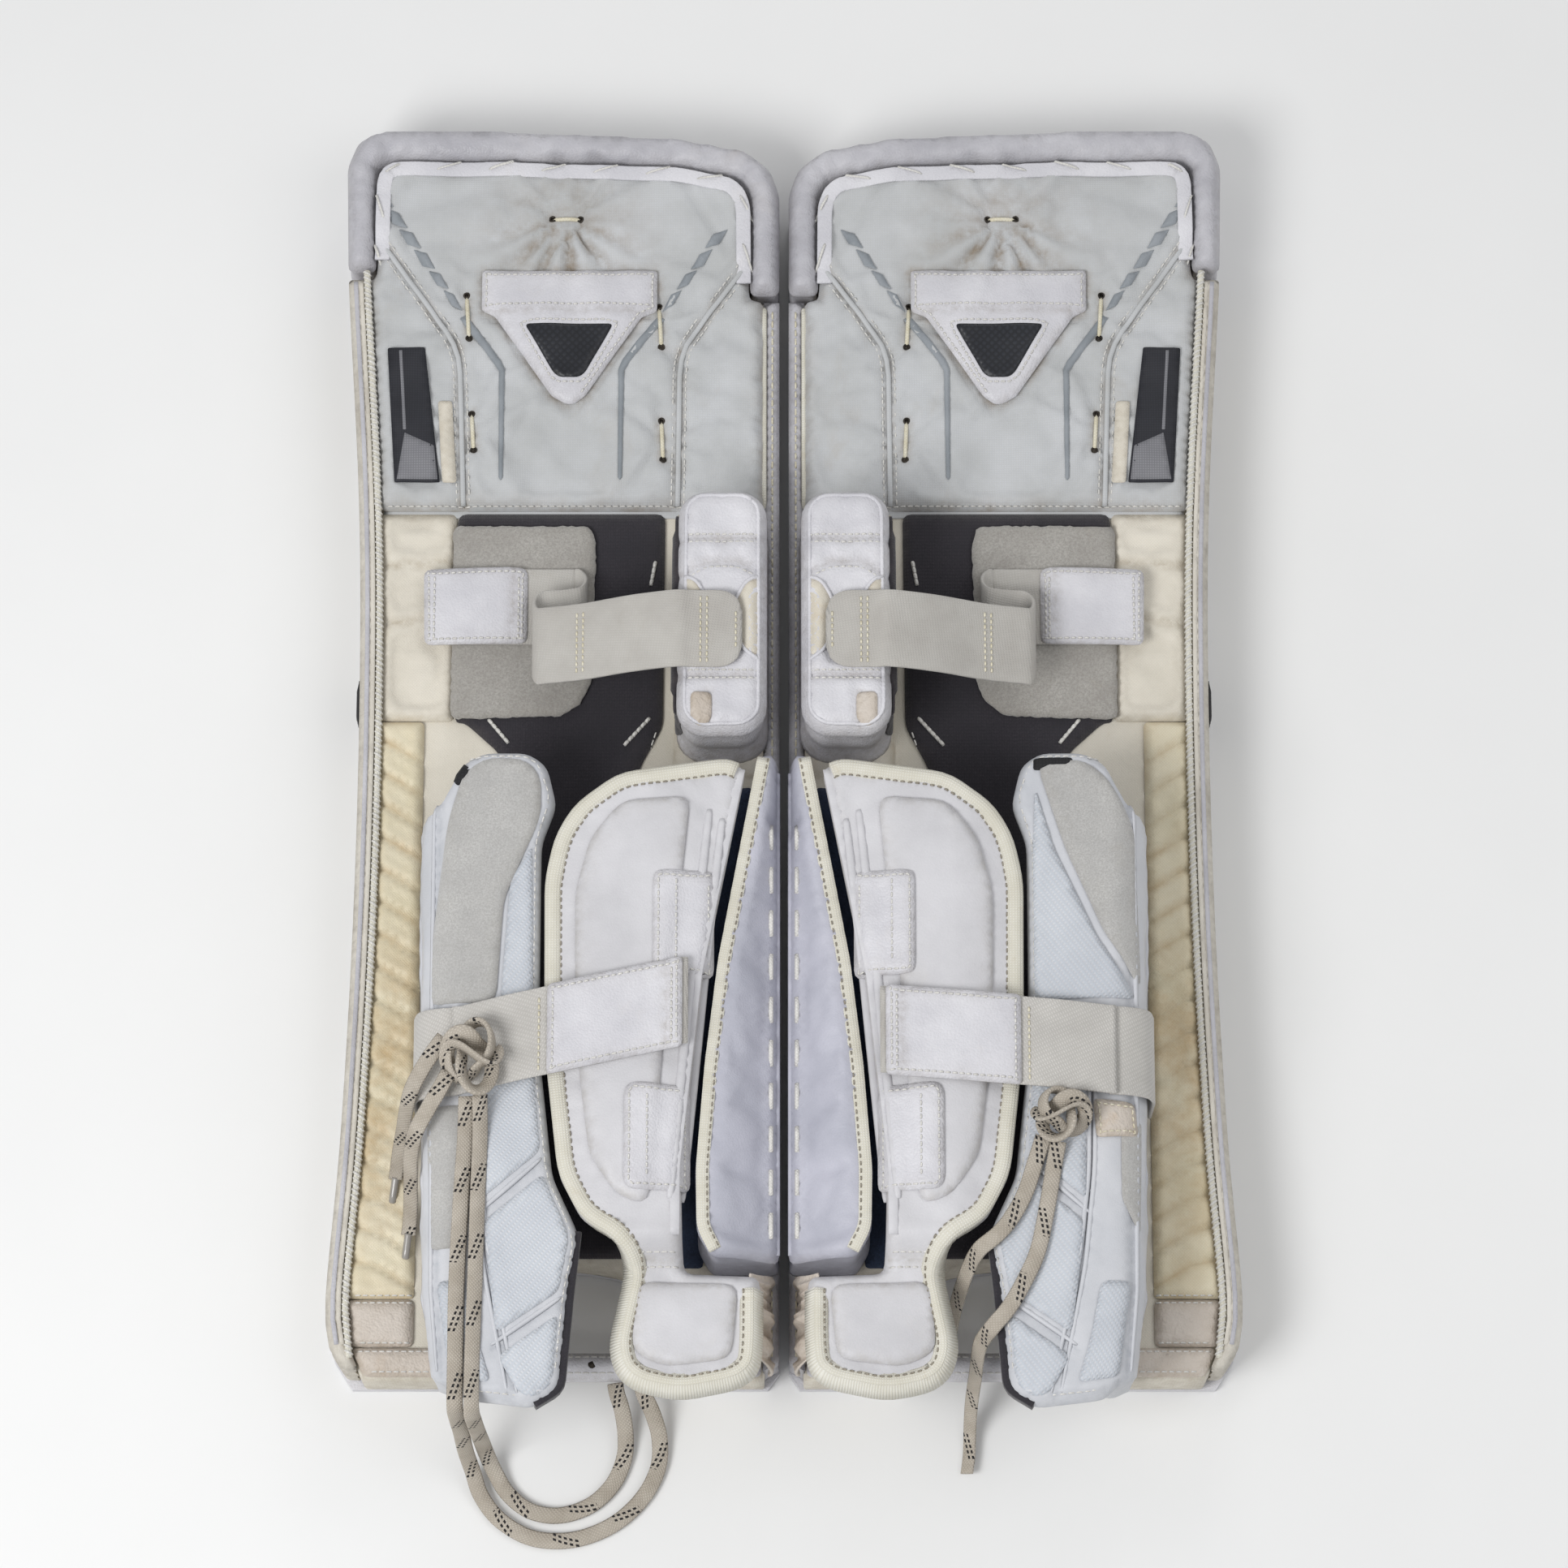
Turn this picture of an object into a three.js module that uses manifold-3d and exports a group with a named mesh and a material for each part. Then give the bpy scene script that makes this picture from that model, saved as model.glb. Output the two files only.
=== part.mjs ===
// A pair of ice hockey goalie leg pads, lying face down with their backs up.
// Millimetres. +X to the wearer's right, +Y to the thigh end, +Z up from the surface they lie on.
// Each pad is drawn once, for the right leg, where x is the distance out from the middle of the pair.
// The left pad is the same drawing mirrored, with its own straps and laces.
import * as THREE from "three";
import { mergeVertices } from "three/addons/utils/BufferGeometryUtils.js";
import Module from "manifold-3d";

const wasm = await Module();
wasm.setup();

// Driving dimensions
const gap = 0.3; // between faces that touch
const innerEdge = 3; // from the middle of the pair to each pad
const thighEnd = 425;
const toeEnd = -395;
const coverThick = 6;
const coreTop = 48;
const liningTop = 53; // knee landing, channel lining and knee side panels
const quiltTop = 55; // quilted panel outside the calf
const thighTop = 60;
const rollWidth = 12.4;
const outerRollTop = 58;
const innerRollTop = 52.7;
const topRollTop = 64;
const archLow = 75; // boot arch, where it starts and ends across the pad
const archHigh = 205;
const archDepth = -321;
const bridgeLow = -393; // bar across the open end of the arch
const bridgeHigh = -377;
const wingBase = 48.3;
const outerWingTop = 128;
const innerWingTop = 132;
const wedgeTop = 122;
const blockTop = 125;
const strapThick = 2;
const kneeStrapWidth = 50;
const calfStrapWidth = 55;
const strapLine = 136; // underside of the calf strap where it crosses the wings
const strapHinge = 197; // where the calf strap bends up from its anchor
const laceThick = 5;
const laceStep = 13;
const edgeStep = 40; // between points of the outer edge
const toeCorner = -378; // where the outer edge turns in to the toe

// The outer edge of a pad, thigh end to toe: [distance out, along]
const outerEdgeLine = new THREE.CatmullRomCurve3(
  [
    [284, 400],
    [282, 326],
    [272, 170],
    [269, 40],
    [270, -103],
    [275, -244],
    [282, -346],
    [279, toeCorner],
  ].map(([x, y]) => new THREE.Vector3(x, y, 0)),
);

// Points of the outer edge between two places along the pad, moved in by inset
function outerEdge(from, to, inset) {
  const stations = [Math.max(from, to)];
  for (let y = edgeStep * 10; y > -edgeStep * 10; y -= edgeStep) {
    if (y < stations[0] - edgeStep / 4 && y > Math.min(from, to) + edgeStep / 4) stations.push(y);
  }
  stations.push(Math.min(from, to));
  const points = stations.map((y) => [outerEdgeAt(y) - inset, y]);
  return from > to ? points : points.reverse();
}

// How far out the outer edge is at a place along the pad
function outerEdgeAt(y) {
  let low = 0;
  let high = 1;
  for (let i = 0; i < 24; i++) {
    const middle = (low + high) / 2;
    if (outerEdgeLine.getPoint(middle).y > y) low = middle;
    else high = middle;
  }
  return outerEdgeLine.getPoint(low).x;
}

// Half an ellipse over the boot arch, from its high side to its low side
function archLine() {
  const middle = (archLow + archHigh) / 2;
  const half = (archHigh - archLow) / 2;
  const rise = 26;
  const steps = 10;
  const points = [];
  for (let i = 0; i <= steps; i++) {
    const turn = (Math.PI * i) / steps;
    points.push([middle + half * Math.cos(turn), archDepth - rise + rise * Math.sin(turn)]);
  }
  return points;
}

function shapeOf(points) {
  return new THREE.Shape(points.map(([x, y]) => new THREE.Vector2(x, y)));
}

// A flat piece of the given outline between two heights, with its edges rounded by round
function plate(points, low, high, round = 0) {
  const geometry = new THREE.ExtrudeGeometry(shapeOf(points), {
    depth: high - low - 2 * round,
    bevelEnabled: round > 0,
    bevelThickness: round,
    bevelSize: round,
    bevelOffset: -round,
    bevelSegments: 2,
    steps: 1,
  });
  return geometry.translate(0, 0, low + round);
}

// A piece of one cross-section, drawn as [distance out, height], running along the pad
function section(points, from, to) {
  const geometry = new THREE.ExtrudeGeometry(shapeOf(points), { depth: to - from, bevelEnabled: false });
  return geometry.rotateX(Math.PI / 2).translate(0, to, 0);
}

// The closed outline of a strip of even thickness that follows a line
function strip(line, thick) {
  const left = [];
  const right = [];
  const at = line.map(([x, y]) => new THREE.Vector2(x, y));
  at.forEach((point, i) => {
    const before = at[Math.max(i - 1, 0)];
    const after = at[Math.min(i + 1, at.length - 1)];
    const one = point.clone().sub(before);
    const two = after.clone().sub(point);
    const a = i ? one.normalize() : two.clone().normalize();
    const b = i < at.length - 1 ? two.normalize() : a;
    const along = a.clone().add(b).normalize();
    const reach = thick / 2 / Math.max(along.dot(a), 0.5);
    left.push([point.x - along.y * reach, point.y + along.x * reach]);
    right.push([point.x + along.y * reach, point.y - along.x * reach]);
  });
  return left.concat(right.reverse());
}

// Points on part of a circle, from one angle to another in degrees
function arc(x, y, radius, from, to, steps) {
  const points = [];
  for (let i = 0; i <= steps; i++) {
    const turn = ((from + ((to - from) * i) / steps) * Math.PI) / 180;
    points.push([x + radius * Math.cos(turn), y + radius * Math.sin(turn)]);
  }
  return points;
}

function solidOf(geometry) {
  const bare = geometry.clone();
  bare.deleteAttribute("normal");
  bare.deleteAttribute("uv");
  const merged = mergeVertices(bare, 1e-3);
  return new wasm.Manifold(
    new wasm.Mesh({
      numProp: 3,
      vertProperties: merged.attributes.position.array,
      triVerts: new Uint32Array(merged.index.array),
    }),
  );
}

function geometryOf(solid) {
  const mesh = solid.getMesh();
  const geometry = new THREE.BufferGeometry();
  geometry.setAttribute("position", new THREE.BufferAttribute(mesh.vertProperties, 3));
  geometry.setIndex(new THREE.BufferAttribute(mesh.triVerts, 1));
  geometry.computeVertexNormals();
  return geometry;
}

const finishes = {
  leather: { color: 0xe9e7ec, roughness: 0.5 },
  fabric: { color: 0xd7dcd9, roughness: 0.85 },
  vinyl: { color: 0xe8e1c9, roughness: 0.6 },
  landing: { color: 0x35313a, roughness: 0.8 },
  felt: { color: 0xc4c4bf, roughness: 0.95 },
  shell: { color: 0xd3dae3, roughness: 0.45 },
  elastic: { color: 0xc9c6c1, roughness: 0.85 },
  lace: { color: 0xb4aca0, roughness: 0.9 },
  foam: { color: 0xdedcd2, roughness: 0.95 },
  label: { color: 0x2a2b33, roughness: 0.6 },
};

function mesh(name, geometry, finish) {
  const made = new THREE.Mesh(geometry, new THREE.MeshStandardMaterial({ ...finishes[finish], metalness: 0 }));
  made.name = name;
  return made;
}

// Body of the pad: front cover, foam core and the rolls round its edge

function padOutline() {
  return [
    [innerEdge, 380],
    [9, 398],
    [25, 411],
    [71, 420],
    [188, thighEnd],
    [262, thighEnd],
    [277, 418],
    ...outerEdge(400, toeCorner, 0),
    [268, toeEnd],
    [archHigh, toeEnd],
    ...archLine(),
    [archLow, toeEnd],
    [10, toeEnd],
    [innerEdge, -385],
  ];
}

function coreOutline() {
  const inset = rollWidth + gap;
  return [
    [innerEdge + 10 + gap, 308],
    [23, 308],
    [23, 378],
    [31, 389],
    [71, 397],
    [188, 401],
    [258, 401],
    [263, 397],
    [263, 325],
    ...outerEdge(320, toeCorner, inset),
    [258, toeEnd + gap],
    [archHigh, toeEnd + gap],
    ...archLine(),
    [archLow, toeEnd + gap],
    [innerEdge + 10 + gap, toeEnd + gap],
  ];
}

function topRollOutline() {
  return [
    [innerEdge, 311],
    [22, 311],
    [22.5, 379],
    [30.5, 390],
    [71, 398],
    [188, 402],
    [258.5, 402],
    [264, 397.5],
    [264, 327],
    [282, 327],
    [284, 400],
    [277, 418],
    [262, thighEnd],
    [188, thighEnd],
    [71, 420],
    [25, 411],
    [9, 398],
    [innerEdge, 380],
  ];
}

function edgeRollOutline() {
  return outerEdge(322, toeCorner, 0).concat([[270.3, toeEnd + 4]], [[261, toeEnd + 4]], outerEdge(toeCorner, 322, rollWidth));
}

function padBody(side) {
  const rollInner = [
    [innerEdge, 308],
    [innerEdge + 10, 308],
    [innerEdge + 10, toeEnd + 4],
    [innerEdge, toeEnd + 10],
  ];
  const bridge = [
    [archLow + gap, bridgeLow],
    [archHigh - gap, bridgeLow],
    [archHigh - gap, bridgeHigh],
    [archLow + gap, bridgeHigh],
  ];
  return [
    mesh(side + "_face_cover", plate(padOutline(), 0, coverThick), "leather"),
    mesh(side + "_foam_core", plate(coreOutline(), coverThick + gap, coreTop), "foam"),
    mesh(side + "_top_roll", plate(topRollOutline(), coverThick + gap, topRollTop, 4), "leather"),
    mesh(side + "_outer_edge_roll", plate(edgeRollOutline(), coverThick + gap, outerRollTop, 2), "vinyl"),
    mesh(side + "_inner_edge_roll", plate(rollInner, coverThick + gap, innerRollTop, 2), "leather"),
    mesh(side + "_toe_bridge", plate(bridge, 22, 40, 3), "leather"),
  ];
}

// Padded panels on the back, thigh to knee

function thighParts(side) {
  const panel = [
    [innerEdge + 10 + gap, 165],
    [innerEdge + 10 + gap, 307],
    [23, 308],
    [23, 378],
    [31, 389],
    [71, 397],
    [188, 401],
    [258, 401],
    [263, 397],
    [263, 325],
    ...outerEdge(320, 165, rollWidth + gap),
  ];
  const patch = [
    [82, 324],
    [195, 324],
    [195, 299],
    [186, 294],
    [148, 240],
    [138, 235],
    [129, 240],
    [92, 294],
    [82, 299],
  ];
  const label = [
    [222, 181],
    [255, 181],
    [261, 274],
    [235, 274],
  ];
  return [
    mesh(side + "_thigh_panel", plate(panel, coreTop + gap, thighTop, 4), "fabric"),
    mesh(side + "_thigh_patch", plate(patch, thighTop + gap, thighTop + 3), "leather"),
    mesh(side + "_size_label", plate(label, thighTop + gap, thighTop + 1.3), "label"),
  ];
}

function kneeParts(side) {
  const landing = [
    [76, 163],
    [208.5, 163],
    [208.5, 24],
    [202, 24],
    [179, 3],
    [179, -28],
    [206, -34],
    [206, archDepth - 6],
    [195, archDepth],
    [85, archDepth],
    [70, archDepth - 6],
    [70, -34],
    [92, -28],
    [92, -7],
    [77, 21],
  ];
  const outerPanel = [
    [209.5, 25],
    [209.5, 163],
    ...outerEdge(163, 25, rollWidth + gap),
  ];
  const innerPanel = [
    [innerEdge + 10 + gap, 163],
    [69.5, 163],
    [69.5, -333],
    [innerEdge + 10 + gap, -333],
  ];
  const quilt = [
    [228, 24],
    ...outerEdge(24, toeCorner, rollWidth + gap),
    [258, toeEnd + gap],
    [228, toeEnd + gap],
  ];
  const felt = [
    [120, 153],
    [211, 153],
    [211, 25],
    [134, 29],
    [123, 43],
  ];
  const block = [
    [22, 156],
    [56, 156],
    [66, 146],
    [67, 8],
    [57, -3],
    [22, -3],
    [11, 8],
    [11, 146],
  ];
  return [
    mesh(side + "_landing_panel", plate(landing, coreTop + gap, liningTop), "landing"),
    mesh(side + "_knee_outer_panel", plate(outerPanel, coreTop + gap, liningTop, 1.5), "vinyl"),
    mesh(side + "_inner_lining_panel", plate(innerPanel, coreTop + gap, liningTop, 1.5), "vinyl"),
    mesh(side + "_calf_quilted_panel", plate(quilt, coreTop + gap, quiltTop, 2), "vinyl"),
    mesh(side + "_knee_felt_patch", plate(felt, liningTop + gap, liningTop + 4), "felt"),
    mesh(side + "_knee_block", plate(block, liningTop + gap, blockTop, 8), "leather"),
  ];
}

// Knee strap: sewn to the top of the knee block, it comes out over the landing, folds back under
// itself twice, and its leather tab ends on the felt patch

function kneeStrapParts(side) {
  const onFelt = liningTop + 4 + 2 * gap + strapThick / 2;
  const onBlock = blockTop + gap + strapThick / 2;
  const line = [
    [212, onFelt],
    [134, onFelt],
    ...arc(134, onFelt + 8, 8, -90, -260, 8),
    [147, onFelt + 17.5],
    ...arc(150, onFelt + 25, 7.5, -80, 80, 8),
    [126, 100],
    [96, 117],
    [68, onBlock + 0.8],
    [56, onBlock],
    [26, onBlock],
  ];
  const strap = section(strip(line, strapThick), -kneeStrapWidth / 2, kneeStrapWidth / 2);
  const place = strap.attributes.position;
  const tabMiddle = 98;
  const blockMiddle = 62;
  for (let i = 0; i < place.count; i++) {
    const climb = THREE.MathUtils.clamp((place.getZ(i) - onFelt - 1) / 30, 0, 1);
    place.setY(i, place.getY(i) + tabMiddle + (blockMiddle - tabMiddle) * climb);
  }
  const tabLow = onFelt + strapThick / 2 + gap;
  const tab = [
    [163, tabMiddle - 24],
    [228, tabMiddle - 26],
    [228, tabMiddle + 24],
    [163, tabMiddle + 26],
  ];
  return [
    mesh(side + "_knee_strap", strap, "elastic"),
    mesh(side + "_knee_strap_tab", plate(tab, tabLow, tabLow + 3, 0.8), "leather"),
  ];
}

// Calf wings and the wedge along the inner edge

function outerWing(side) {
  const outline = [
    [200, -17],
    [151, -17],
    [140, -45],
    [149, -75],
    [149, -205],
    [140, -284],
    [127, -312],
    [123, -322],
    [129, -355],
    [134, -416],
    [150, -thighEnd],
    [196, -thighEnd + 5],
    [209, -414],
    [219, -354],
    [222, -204],
    [224, -46],
  ];
  const wall = [
    [208, wingBase],
    [224, wingBase],
    [224, 104],
    [219, 117],
    [208, 125],
    [190, outerWingTop],
    [160, outerWingTop],
    [120, 124],
    [120, 109],
    [160, 112],
    [196, 112],
    [208, 100],
  ];
  const shell = solidOf(section(wall, -430, -10)).intersect(solidOf(plate(outline, 40, 140)));
  const felt = [
    [152, -40],
    [195, -30],
    [206, -60],
    [207, -170],
    [163, -170],
    [160, -100],
  ];
  return [
    mesh(side + "_outer_wing", geometryOf(shell), "shell"),
    mesh(side + "_outer_wing_felt", wingSkin(felt, outerWingTop + gap, 1.7), "felt"),
  ];
}

// A thin skin that stays above the rounded shoulder of the wing
function wingSkin(points, low, thick) {
  const flat = points.map(([x, y]) => [Math.min(x, 189), y]);
  return plate(flat, low, low + thick);
}

function innerWing(side) {
  const panel = [
    [24, -28],
    [35, -24],
    [101, -33],
    [128, -52],
    [140, -72],
    [146, -100],
    [145, -205],
    [136, -284],
    [122, -311],
    [99, -325],
    [97, -340],
    [60, -340],
    [63, -280],
    [50, -160],
    [38, -100],
  ];
  const rise = [
    [14, 117],
    [105, 118],
    [150, 112],
    [150, 127],
    [105, innerWingTop + 2],
    [14, innerWingTop],
  ];
  const flap = [
    [61, -326],
    [97, -326],
    [93, -340],
    [103, -386],
    [99, -402],
    [88, -411],
    [62, -416],
    [24, -406],
    [15, -396],
    [15, -342],
    [61, -342],
  ];
  const upper = solidOf(section(rise, -345, -15)).intersect(solidOf(plate(panel, 100, 150)));
  const lower = solidOf(plate(flap, 101, 119, 3));
  return mesh(side + "_inner_wing", geometryOf(upper.add(lower)), "shell");
}

function wingParts(side) {
  const tabLow = innerWingTop + 2 + gap;
  const upperTab = [
    [43, -96],
    [77, -96],
    [80, -99],
    [80, -158],
    [77, -161],
    [43, -161],
  ];
  const lowerTab = [
    [57, -231],
    [93, -229],
    [97, -234],
    [97, -290],
    [93, -295],
    [57, -295],
  ];
  const wedge = [
    [innerEdge, -17],
    [16, -17],
    [31, -100],
    [40, -149],
    [48, -215],
    [54, -279],
    [53, -318],
    [44, -333],
    [innerEdge, -333],
  ];
  return [
    ...outerWing(side),
    innerWing(side),
    mesh(side + "_wing_tab_upper", plate(upperTab, tabLow, tabLow + 1.4), "leather"),
    mesh(side + "_wing_tab_lower", plate(lowerTab, tabLow, tabLow + 1.4), "leather"),
    mesh(side + "_calf_wedge", plate(wedge, liningTop + gap, wedgeTop, 5), "shell"),
  ];
}

// Calf strap: an anchor up the outside of the outer wing, and the free strap over both wings

function calfStrapParts(side, outerMiddle, innerMiddle) {
  const half = calfStrapWidth / 2;
  const slope = (innerMiddle - outerMiddle) / (strapHinge - 60);
  const slant = (geometry) => {
    const place = geometry.attributes.position;
    for (let i = 0; i < place.count; i++) {
      const inward = Math.max(strapHinge - place.getX(i), 0);
      place.setY(i, place.getY(i) + outerMiddle + slope * inward);
    }
    return geometry;
  };
  const wall = 224 + gap + strapThick / 2;
  const anchor = [
    [wall, 62],
    [wall, 104],
    [219 + 1.4, 118.6],
    [208 + 1, 126.6],
    [strapHinge + 1.2, 130.2],
  ];
  const free = [
    [strapHinge - 0.6, 131.3],
    [160, strapLine + strapThick / 2],
    [64, strapLine + strapThick / 2],
  ];
  const tabLow = strapLine + strapThick + gap;
  const tab = [
    [62, -half],
    [144, -half],
    [144, half],
    [62, half],
  ];
  return [
    mesh(side + "_calf_strap_anchor", slant(section(strip(anchor, strapThick), -half, half)), "elastic"),
    mesh(side + "_calf_strap", slant(section(strip(free, strapThick), -half, half)), "elastic"),
    mesh(side + "_calf_strap_tab", slant(plate(tab, tabLow, tabLow + 3)), "leather"),
  ];
}

// Laces. Each route is a list of points along the middle of one lace, then a plain tube

function lace(name, points) {
  const curve = new THREE.CatmullRomCurve3(points.map(([x, y, z]) => new THREE.Vector3(x, y, z)));
  const ring = arc(0, 0, laceThick / 2, 0, 315, 7);
  const tube = new THREE.ExtrudeGeometry(shapeOf(ring), {
    extrudePath: curve,
    steps: Math.round(curve.getLength() / laceStep),
    bevelEnabled: false,
  });
  return mesh(name, tube, "lace");
}

function knot(name, at, size) {
  const ball = new THREE.SphereGeometry(1, 12, 8);
  ball.scale(...size).translate(...at);
  return mesh(name, ball, "lace");
}

function leftLaces() {
  const runA = [
    [104, -395.4, 30],
    [103, -401, 25],
    [100, -410, 17],
    [98, -424, 8],
    [99, -438, 4.5],
    [106, -454, 4],
    [120, -467, 4],
    [139, -473, 4],
    [157, -470, 4],
    [171, -459, 4],
    [179, -446, 8],
    [183, -438, 20],
    [185, -434, 45],
    [186, -433, 80],
    [186.5, -432, 108],
    [187, -430, 127],
    [187, -421, 132.5],
    [187, -400, 132],
    [186, -354, 132],
    [185, -299, 132],
    [184, -262, 134],
    [184, -239, 144],
  ];
  const runB = [
    [88, -395.4, 30],
    [86, -402, 25],
    [81, -412, 17],
    [77, -426, 8],
    [78, -444, 4.5],
    [88, -463, 4],
    [106, -479, 4],
    [130, -488, 4],
    [155, -487, 4],
    [175, -476, 4],
    [187, -461, 5],
    [192, -447, 14],
    [195, -439, 40],
    [196, -433, 75],
    [196.5, -431, 105],
    [197, -428, 126],
    [197, -418, 132.5],
    [197, -398, 132],
    [197, -354, 132],
    [195, -299, 132],
    [193, -264, 134],
    [192, -240, 144],
  ];
  const tailA = [
    [206, -204, 147],
    [212, -212, 146],
    [220, -223, 140],
    [227, -233, 126],
    [231, -241, 107],
    [234, -249, 87],
    [237, -257, 70],
    [239, -266, 60],
    [240, -273, 58.3],
  ];
  const tailB = [
    [203, -226, 147],
    [208, -235, 145],
    [216, -247, 138],
    [224, -259, 126],
    [227.6, -270, 107],
    [228.6, -281, 88],
    [229.5, -291, 71],
    [230.5, -300, 60],
    [231.5, -308, 58.3],
  ];
  return [
    knot("left_lace_knot", [189, -215, 149], [15, 22, 10]),
    lace("left_lace_run_a", runA),
    lace("left_lace_run_b", runB),
    lace("left_lace_tail_a", tailA),
    lace("left_lace_tail_b", tailB),
  ];
}

function rightLaces() {
  const freeEnd = [
    [166, -266, 136],
    [163, -282, 131.5],
    [159, -305, 131.2],
    [153, -332, 131.2],
    [144, -352, 131.2],
    [135, -367, 130.5],
    [125, -378, 124],
    [119, -384, 106],
    [117.5, -390, 84],
    [117, -396, 62],
    [116, -403, 40],
    [115.3, -411, 20],
    [115, -422, 7],
    [114.5, -436, 4],
    [113, -447, 4],
  ];
  const toBridge = [
    [157, -263, 136],
    [152, -278, 131.5],
    [146, -296, 131.2],
    [138, -311, 131],
    [129, -322, 131],
    [118, -330, 124],
    [112, -338, 108],
    [108, -347, 90],
    [105, -355, 70],
    [103, -364, 50],
    [102, -369, 41],
    [101.6, -374.6, 34],
  ];
  return [
    knot("right_lace_knot", [168, -250, 140], [15, 14, 10]),
    lace("right_lace_free_end", freeEnd),
    lace("right_lace_to_bridge", toBridge),
  ];
}

function pad(side, strapOuterMiddle, strapInnerMiddle, laces) {
  const group = new THREE.Group();
  group.add(
    ...padBody(side),
    ...thighParts(side),
    ...kneeParts(side),
    ...kneeStrapParts(side),
    ...wingParts(side),
    ...calfStrapParts(side, strapOuterMiddle, strapInnerMiddle),
    ...laces,
  );
  return group;
}

const leftPad = pad("left", -209, -179, leftLaces());
leftPad.scale.x = -1;
const rightPad = pad("right", -208, -197, rightLaces());

const pads = new THREE.Group();
pads.add(leftPad, rightPad);
export default pads;
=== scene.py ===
import math
import random
import bpy
import numpy as np
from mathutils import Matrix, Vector, noise
from mathutils.bvhtree import BVHTree
from mathutils.geometry import delaunay_2d_cdt


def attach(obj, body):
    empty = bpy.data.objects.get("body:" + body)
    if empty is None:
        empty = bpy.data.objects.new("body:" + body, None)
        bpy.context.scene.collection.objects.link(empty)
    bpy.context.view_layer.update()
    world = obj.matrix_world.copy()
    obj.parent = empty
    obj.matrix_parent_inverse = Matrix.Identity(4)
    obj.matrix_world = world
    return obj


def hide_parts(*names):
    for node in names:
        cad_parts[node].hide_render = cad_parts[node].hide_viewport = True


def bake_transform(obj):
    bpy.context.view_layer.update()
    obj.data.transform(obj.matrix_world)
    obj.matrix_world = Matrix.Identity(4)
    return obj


# Two ice hockey goalie leg pads, lying on their faces with straps and wings up.
# Drawings are in millimetres: u outward from the line between the pads, v along the pad
# towards the thigh, z up. The left pad is the mirror image of the right one.
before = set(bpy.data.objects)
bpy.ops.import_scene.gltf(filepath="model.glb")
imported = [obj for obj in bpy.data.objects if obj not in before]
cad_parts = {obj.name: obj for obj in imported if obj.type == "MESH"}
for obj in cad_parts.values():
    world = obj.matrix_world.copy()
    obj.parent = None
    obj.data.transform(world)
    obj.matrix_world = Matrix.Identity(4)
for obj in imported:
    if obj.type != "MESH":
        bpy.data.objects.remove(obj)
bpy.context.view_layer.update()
scene = bpy.context.scene
dice = random.Random(7)
signs = {"left": -1, "right": 1}
print("frame loaded")

camera = {"place": (0, -1.0088, 3.5105), "target": (0, -0.0165, 0.05), "lens": 130.9, "sensor": 36}
cameraData = bpy.data.cameras.new("camera")
cameraData.lens = camera["lens"]
cameraData.sensor_width = camera["sensor"]
cameraObject = bpy.data.objects.new("camera", cameraData)
scene.collection.objects.link(cameraObject)
cameraObject.location = camera["place"]
aim = Vector(camera["target"]) - Vector(camera["place"])
cameraObject.rotation_euler = aim.to_track_quat("-Z", "Y").to_euler()
scene.camera = cameraObject


# Materials

def rgb(hexColour):
    parts = [int(hexColour[i:i + 2], 16) / 255 for i in (1, 3, 5)]
    return [c / 12.92 if c <= 0.04045 else ((c + 0.055) / 1.055) ** 2.4 for c in parts] + [1]


def addNode(tree, kind, settings=None, links=None):
    node = tree.nodes.new(kind)
    for key, value in (settings or {}).items():
        if isinstance(key, int) or key[0].isupper():
            node.inputs[key].default_value = value
        else:
            setattr(node, key, value)
    for key, source in (links or {}).items():
        tree.links.new(source, node.inputs[key])
    return node


bandSpacing = 0.314  # the wave pattern's own spacing at scale 1


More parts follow.
